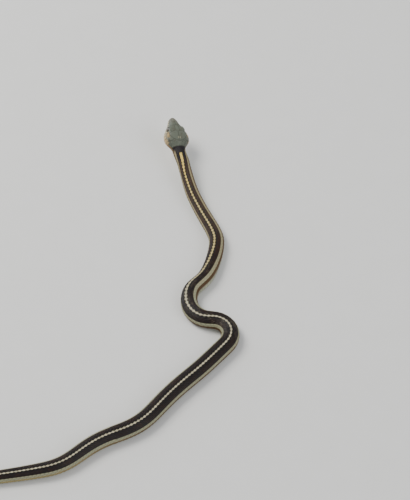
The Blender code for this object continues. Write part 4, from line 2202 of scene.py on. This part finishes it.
# ------------------------------------------------------------------ the studio
@dataclass(frozen=True)
class Lamp:
    """A soft square light: its place from the aim and its width in metres, its power in watts."""

    name: str
    place: Triple
    size: float
    power: float
    colour: Triple


@dataclass
class Studio:
    """A pale floor, soft lights and the camera."""

    aim: Triple = (73.75 * MM, 105.5 * MM, 0.0)
    elevation: float = 52.4
    distance: float = 1.75
    lens: float = 200.0
    sensor: float = 36.0
    sight: float = 20.0
    floor_size: float = 6.0
    floor_gap: float = 0.05 * MM
    floor_grain: float = 60.0
    floor_colours: tuple[Colour, Colour] = (paint(222, 221, 217), paint(226, 225, 222))
    floor_roughness: float = 0.85
    sky: Colour = (0.92, 0.95, 1.0, 1.0)
    sky_strength: float = 0.55
    lamps: tuple[Lamp, ...] = (
        Lamp("key", (-0.9, 0.5, 1.3), 0.8, 26.0, (1.0, 0.98, 0.94)),
        Lamp("fill", (1.1, -0.7, 0.9), 1.0, 9.0, (0.95, 0.97, 1.0)),
        Lamp("sky", (-1.2, 1.2, 0.5), 1.0, 8.0, (0.75, 0.86, 1.0)),
    )

    def build(self) -> None:
        """Make the floor, the sky, the lights and the camera."""
        self.floor()
        self.dome()
        for lamp in self.lamps:
            self.light(lamp)
        self.camera()

    def floor(self) -> None:
        """A plain pale floor."""
        mesh = bmesh.new()
        bmesh.ops.create_grid(mesh, x_segments=1, y_segments=1, size=self.floor_size / 2)
        bmesh.ops.translate(mesh, vec=(0, 0, -self.floor_gap), verts=mesh.verts)
        g = Surface("floor_paper")
        colour = g.noise(self.floor_grain).mix(*self.floor_colours)
        paper = g.give({"Base Color": colour, "Roughness": self.floor_roughness})
        make_object("floor", mesh, paper)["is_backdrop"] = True

    def dome(self) -> None:
        """A pale sky all round."""
        world = bpy.data.worlds.new("studio")
        world.use_nodes = True
        sky = {"Color": self.sky, "Strength": self.sky_strength}
        Graph(world.node_tree).fill(world.node_tree.nodes["Background"], sky)
        bpy.context.scene.world = world

    def light(self, lamp: Lamp) -> None:
        """One square light that looks at the snake.

        Args:
            lamp: The light.
        """
        data = bpy.data.lights.new(lamp.name, "AREA")
        data.shape = "SQUARE"
        data.size = lamp.size
        data.energy = lamp.power
        data.color = lamp.colour
        place = Vector(self.aim) + Vector(lamp.place)
        self.hang(lamp.name, data, place, Vector(self.aim) - place)

    def camera(self) -> None:
        """The camera, looking along +Y and down."""
        data = bpy.data.cameras.new("camera")
        data.lens = self.lens
        data.sensor_width = self.sensor
        data.clip_end = self.sight
        tilt = math.radians(self.elevation)
        back = Vector((0, -math.cos(tilt), math.sin(tilt)))
        place = Vector(self.aim) + back * self.distance
        bpy.context.scene.camera = self.hang("camera", data, place, -back)

    @staticmethod
    def hang(name: str, data: bpy.types.ID, place: Vector, look: Vector) -> Object:
        """Put a light or a camera in the scene.

        Args:
            name: Its name.
            data: The light or the camera.
            place: Where it stands.
            look: The way it looks.

        Returns:
            The new object.
        """
        thing = bpy.data.objects.new(name, data)
        thing.location = place
        thing.rotation_mode = "QUATERNION"
        thing.rotation_quaternion = look.to_track_quat("-Z", "Y")
        bpy.context.scene.collection.objects.link(thing)
        return thing


def corners(box: tuple[Vector, Vector]) -> list[list[float]]:
    """A box's two corners as plain lists."""
    return [list(corner) for corner in box]


def main() -> None:
    """Build the snake and its studio."""
    logging.basicConfig(level=logging.INFO, format="%(message)s")
    cad_box = corners(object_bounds())
    flesh = [name for name in frame["nodes"] if not name.startswith("eye")]
    form = SnakeForm(BodyForm(), HeadForm(), Lie())
    lattice = Lattice(form.length)
    seat, shields = EyeSeat(), Shields()
    shared = Markings().group(), Grain().group()
    smooth = ReptileFinish("skin_satin", edge_shade=0.75, roughness=0.36, grain_depth=0.05 * MM)
    scaly = ReptileFinish("scale_satin", edge_shade=0.45, roughness=0.38, grain_depth=0.06 * MM)
    skin = Skin(form, lattice, seat, shields).build(smooth.material(*shared))
    settle(skin, Slot.HEAD, *flesh)
    scale_finish = scaly.material(*shared)
    *back, throat = ScaleCoat(form, lattice, scale_finish, shields).build()
    for piece in back:
        settle(piece, Slot.BODY)
    settle(throat, Slot.JAW)
    for piece in BellyScutes(form, lattice, scale_finish).build():
        settle(piece, Slot.BODY)
    gloss = EyeFinish().material()
    for side in Side:
        eye = Eye(form, seat, side)
        settle(eye.build(gloss), Slot.EYE, eye.node)
    Studio().build()
    {"cad": cad_box, "visual": corners(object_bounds())}


if __name__ == "__main__":
    main()
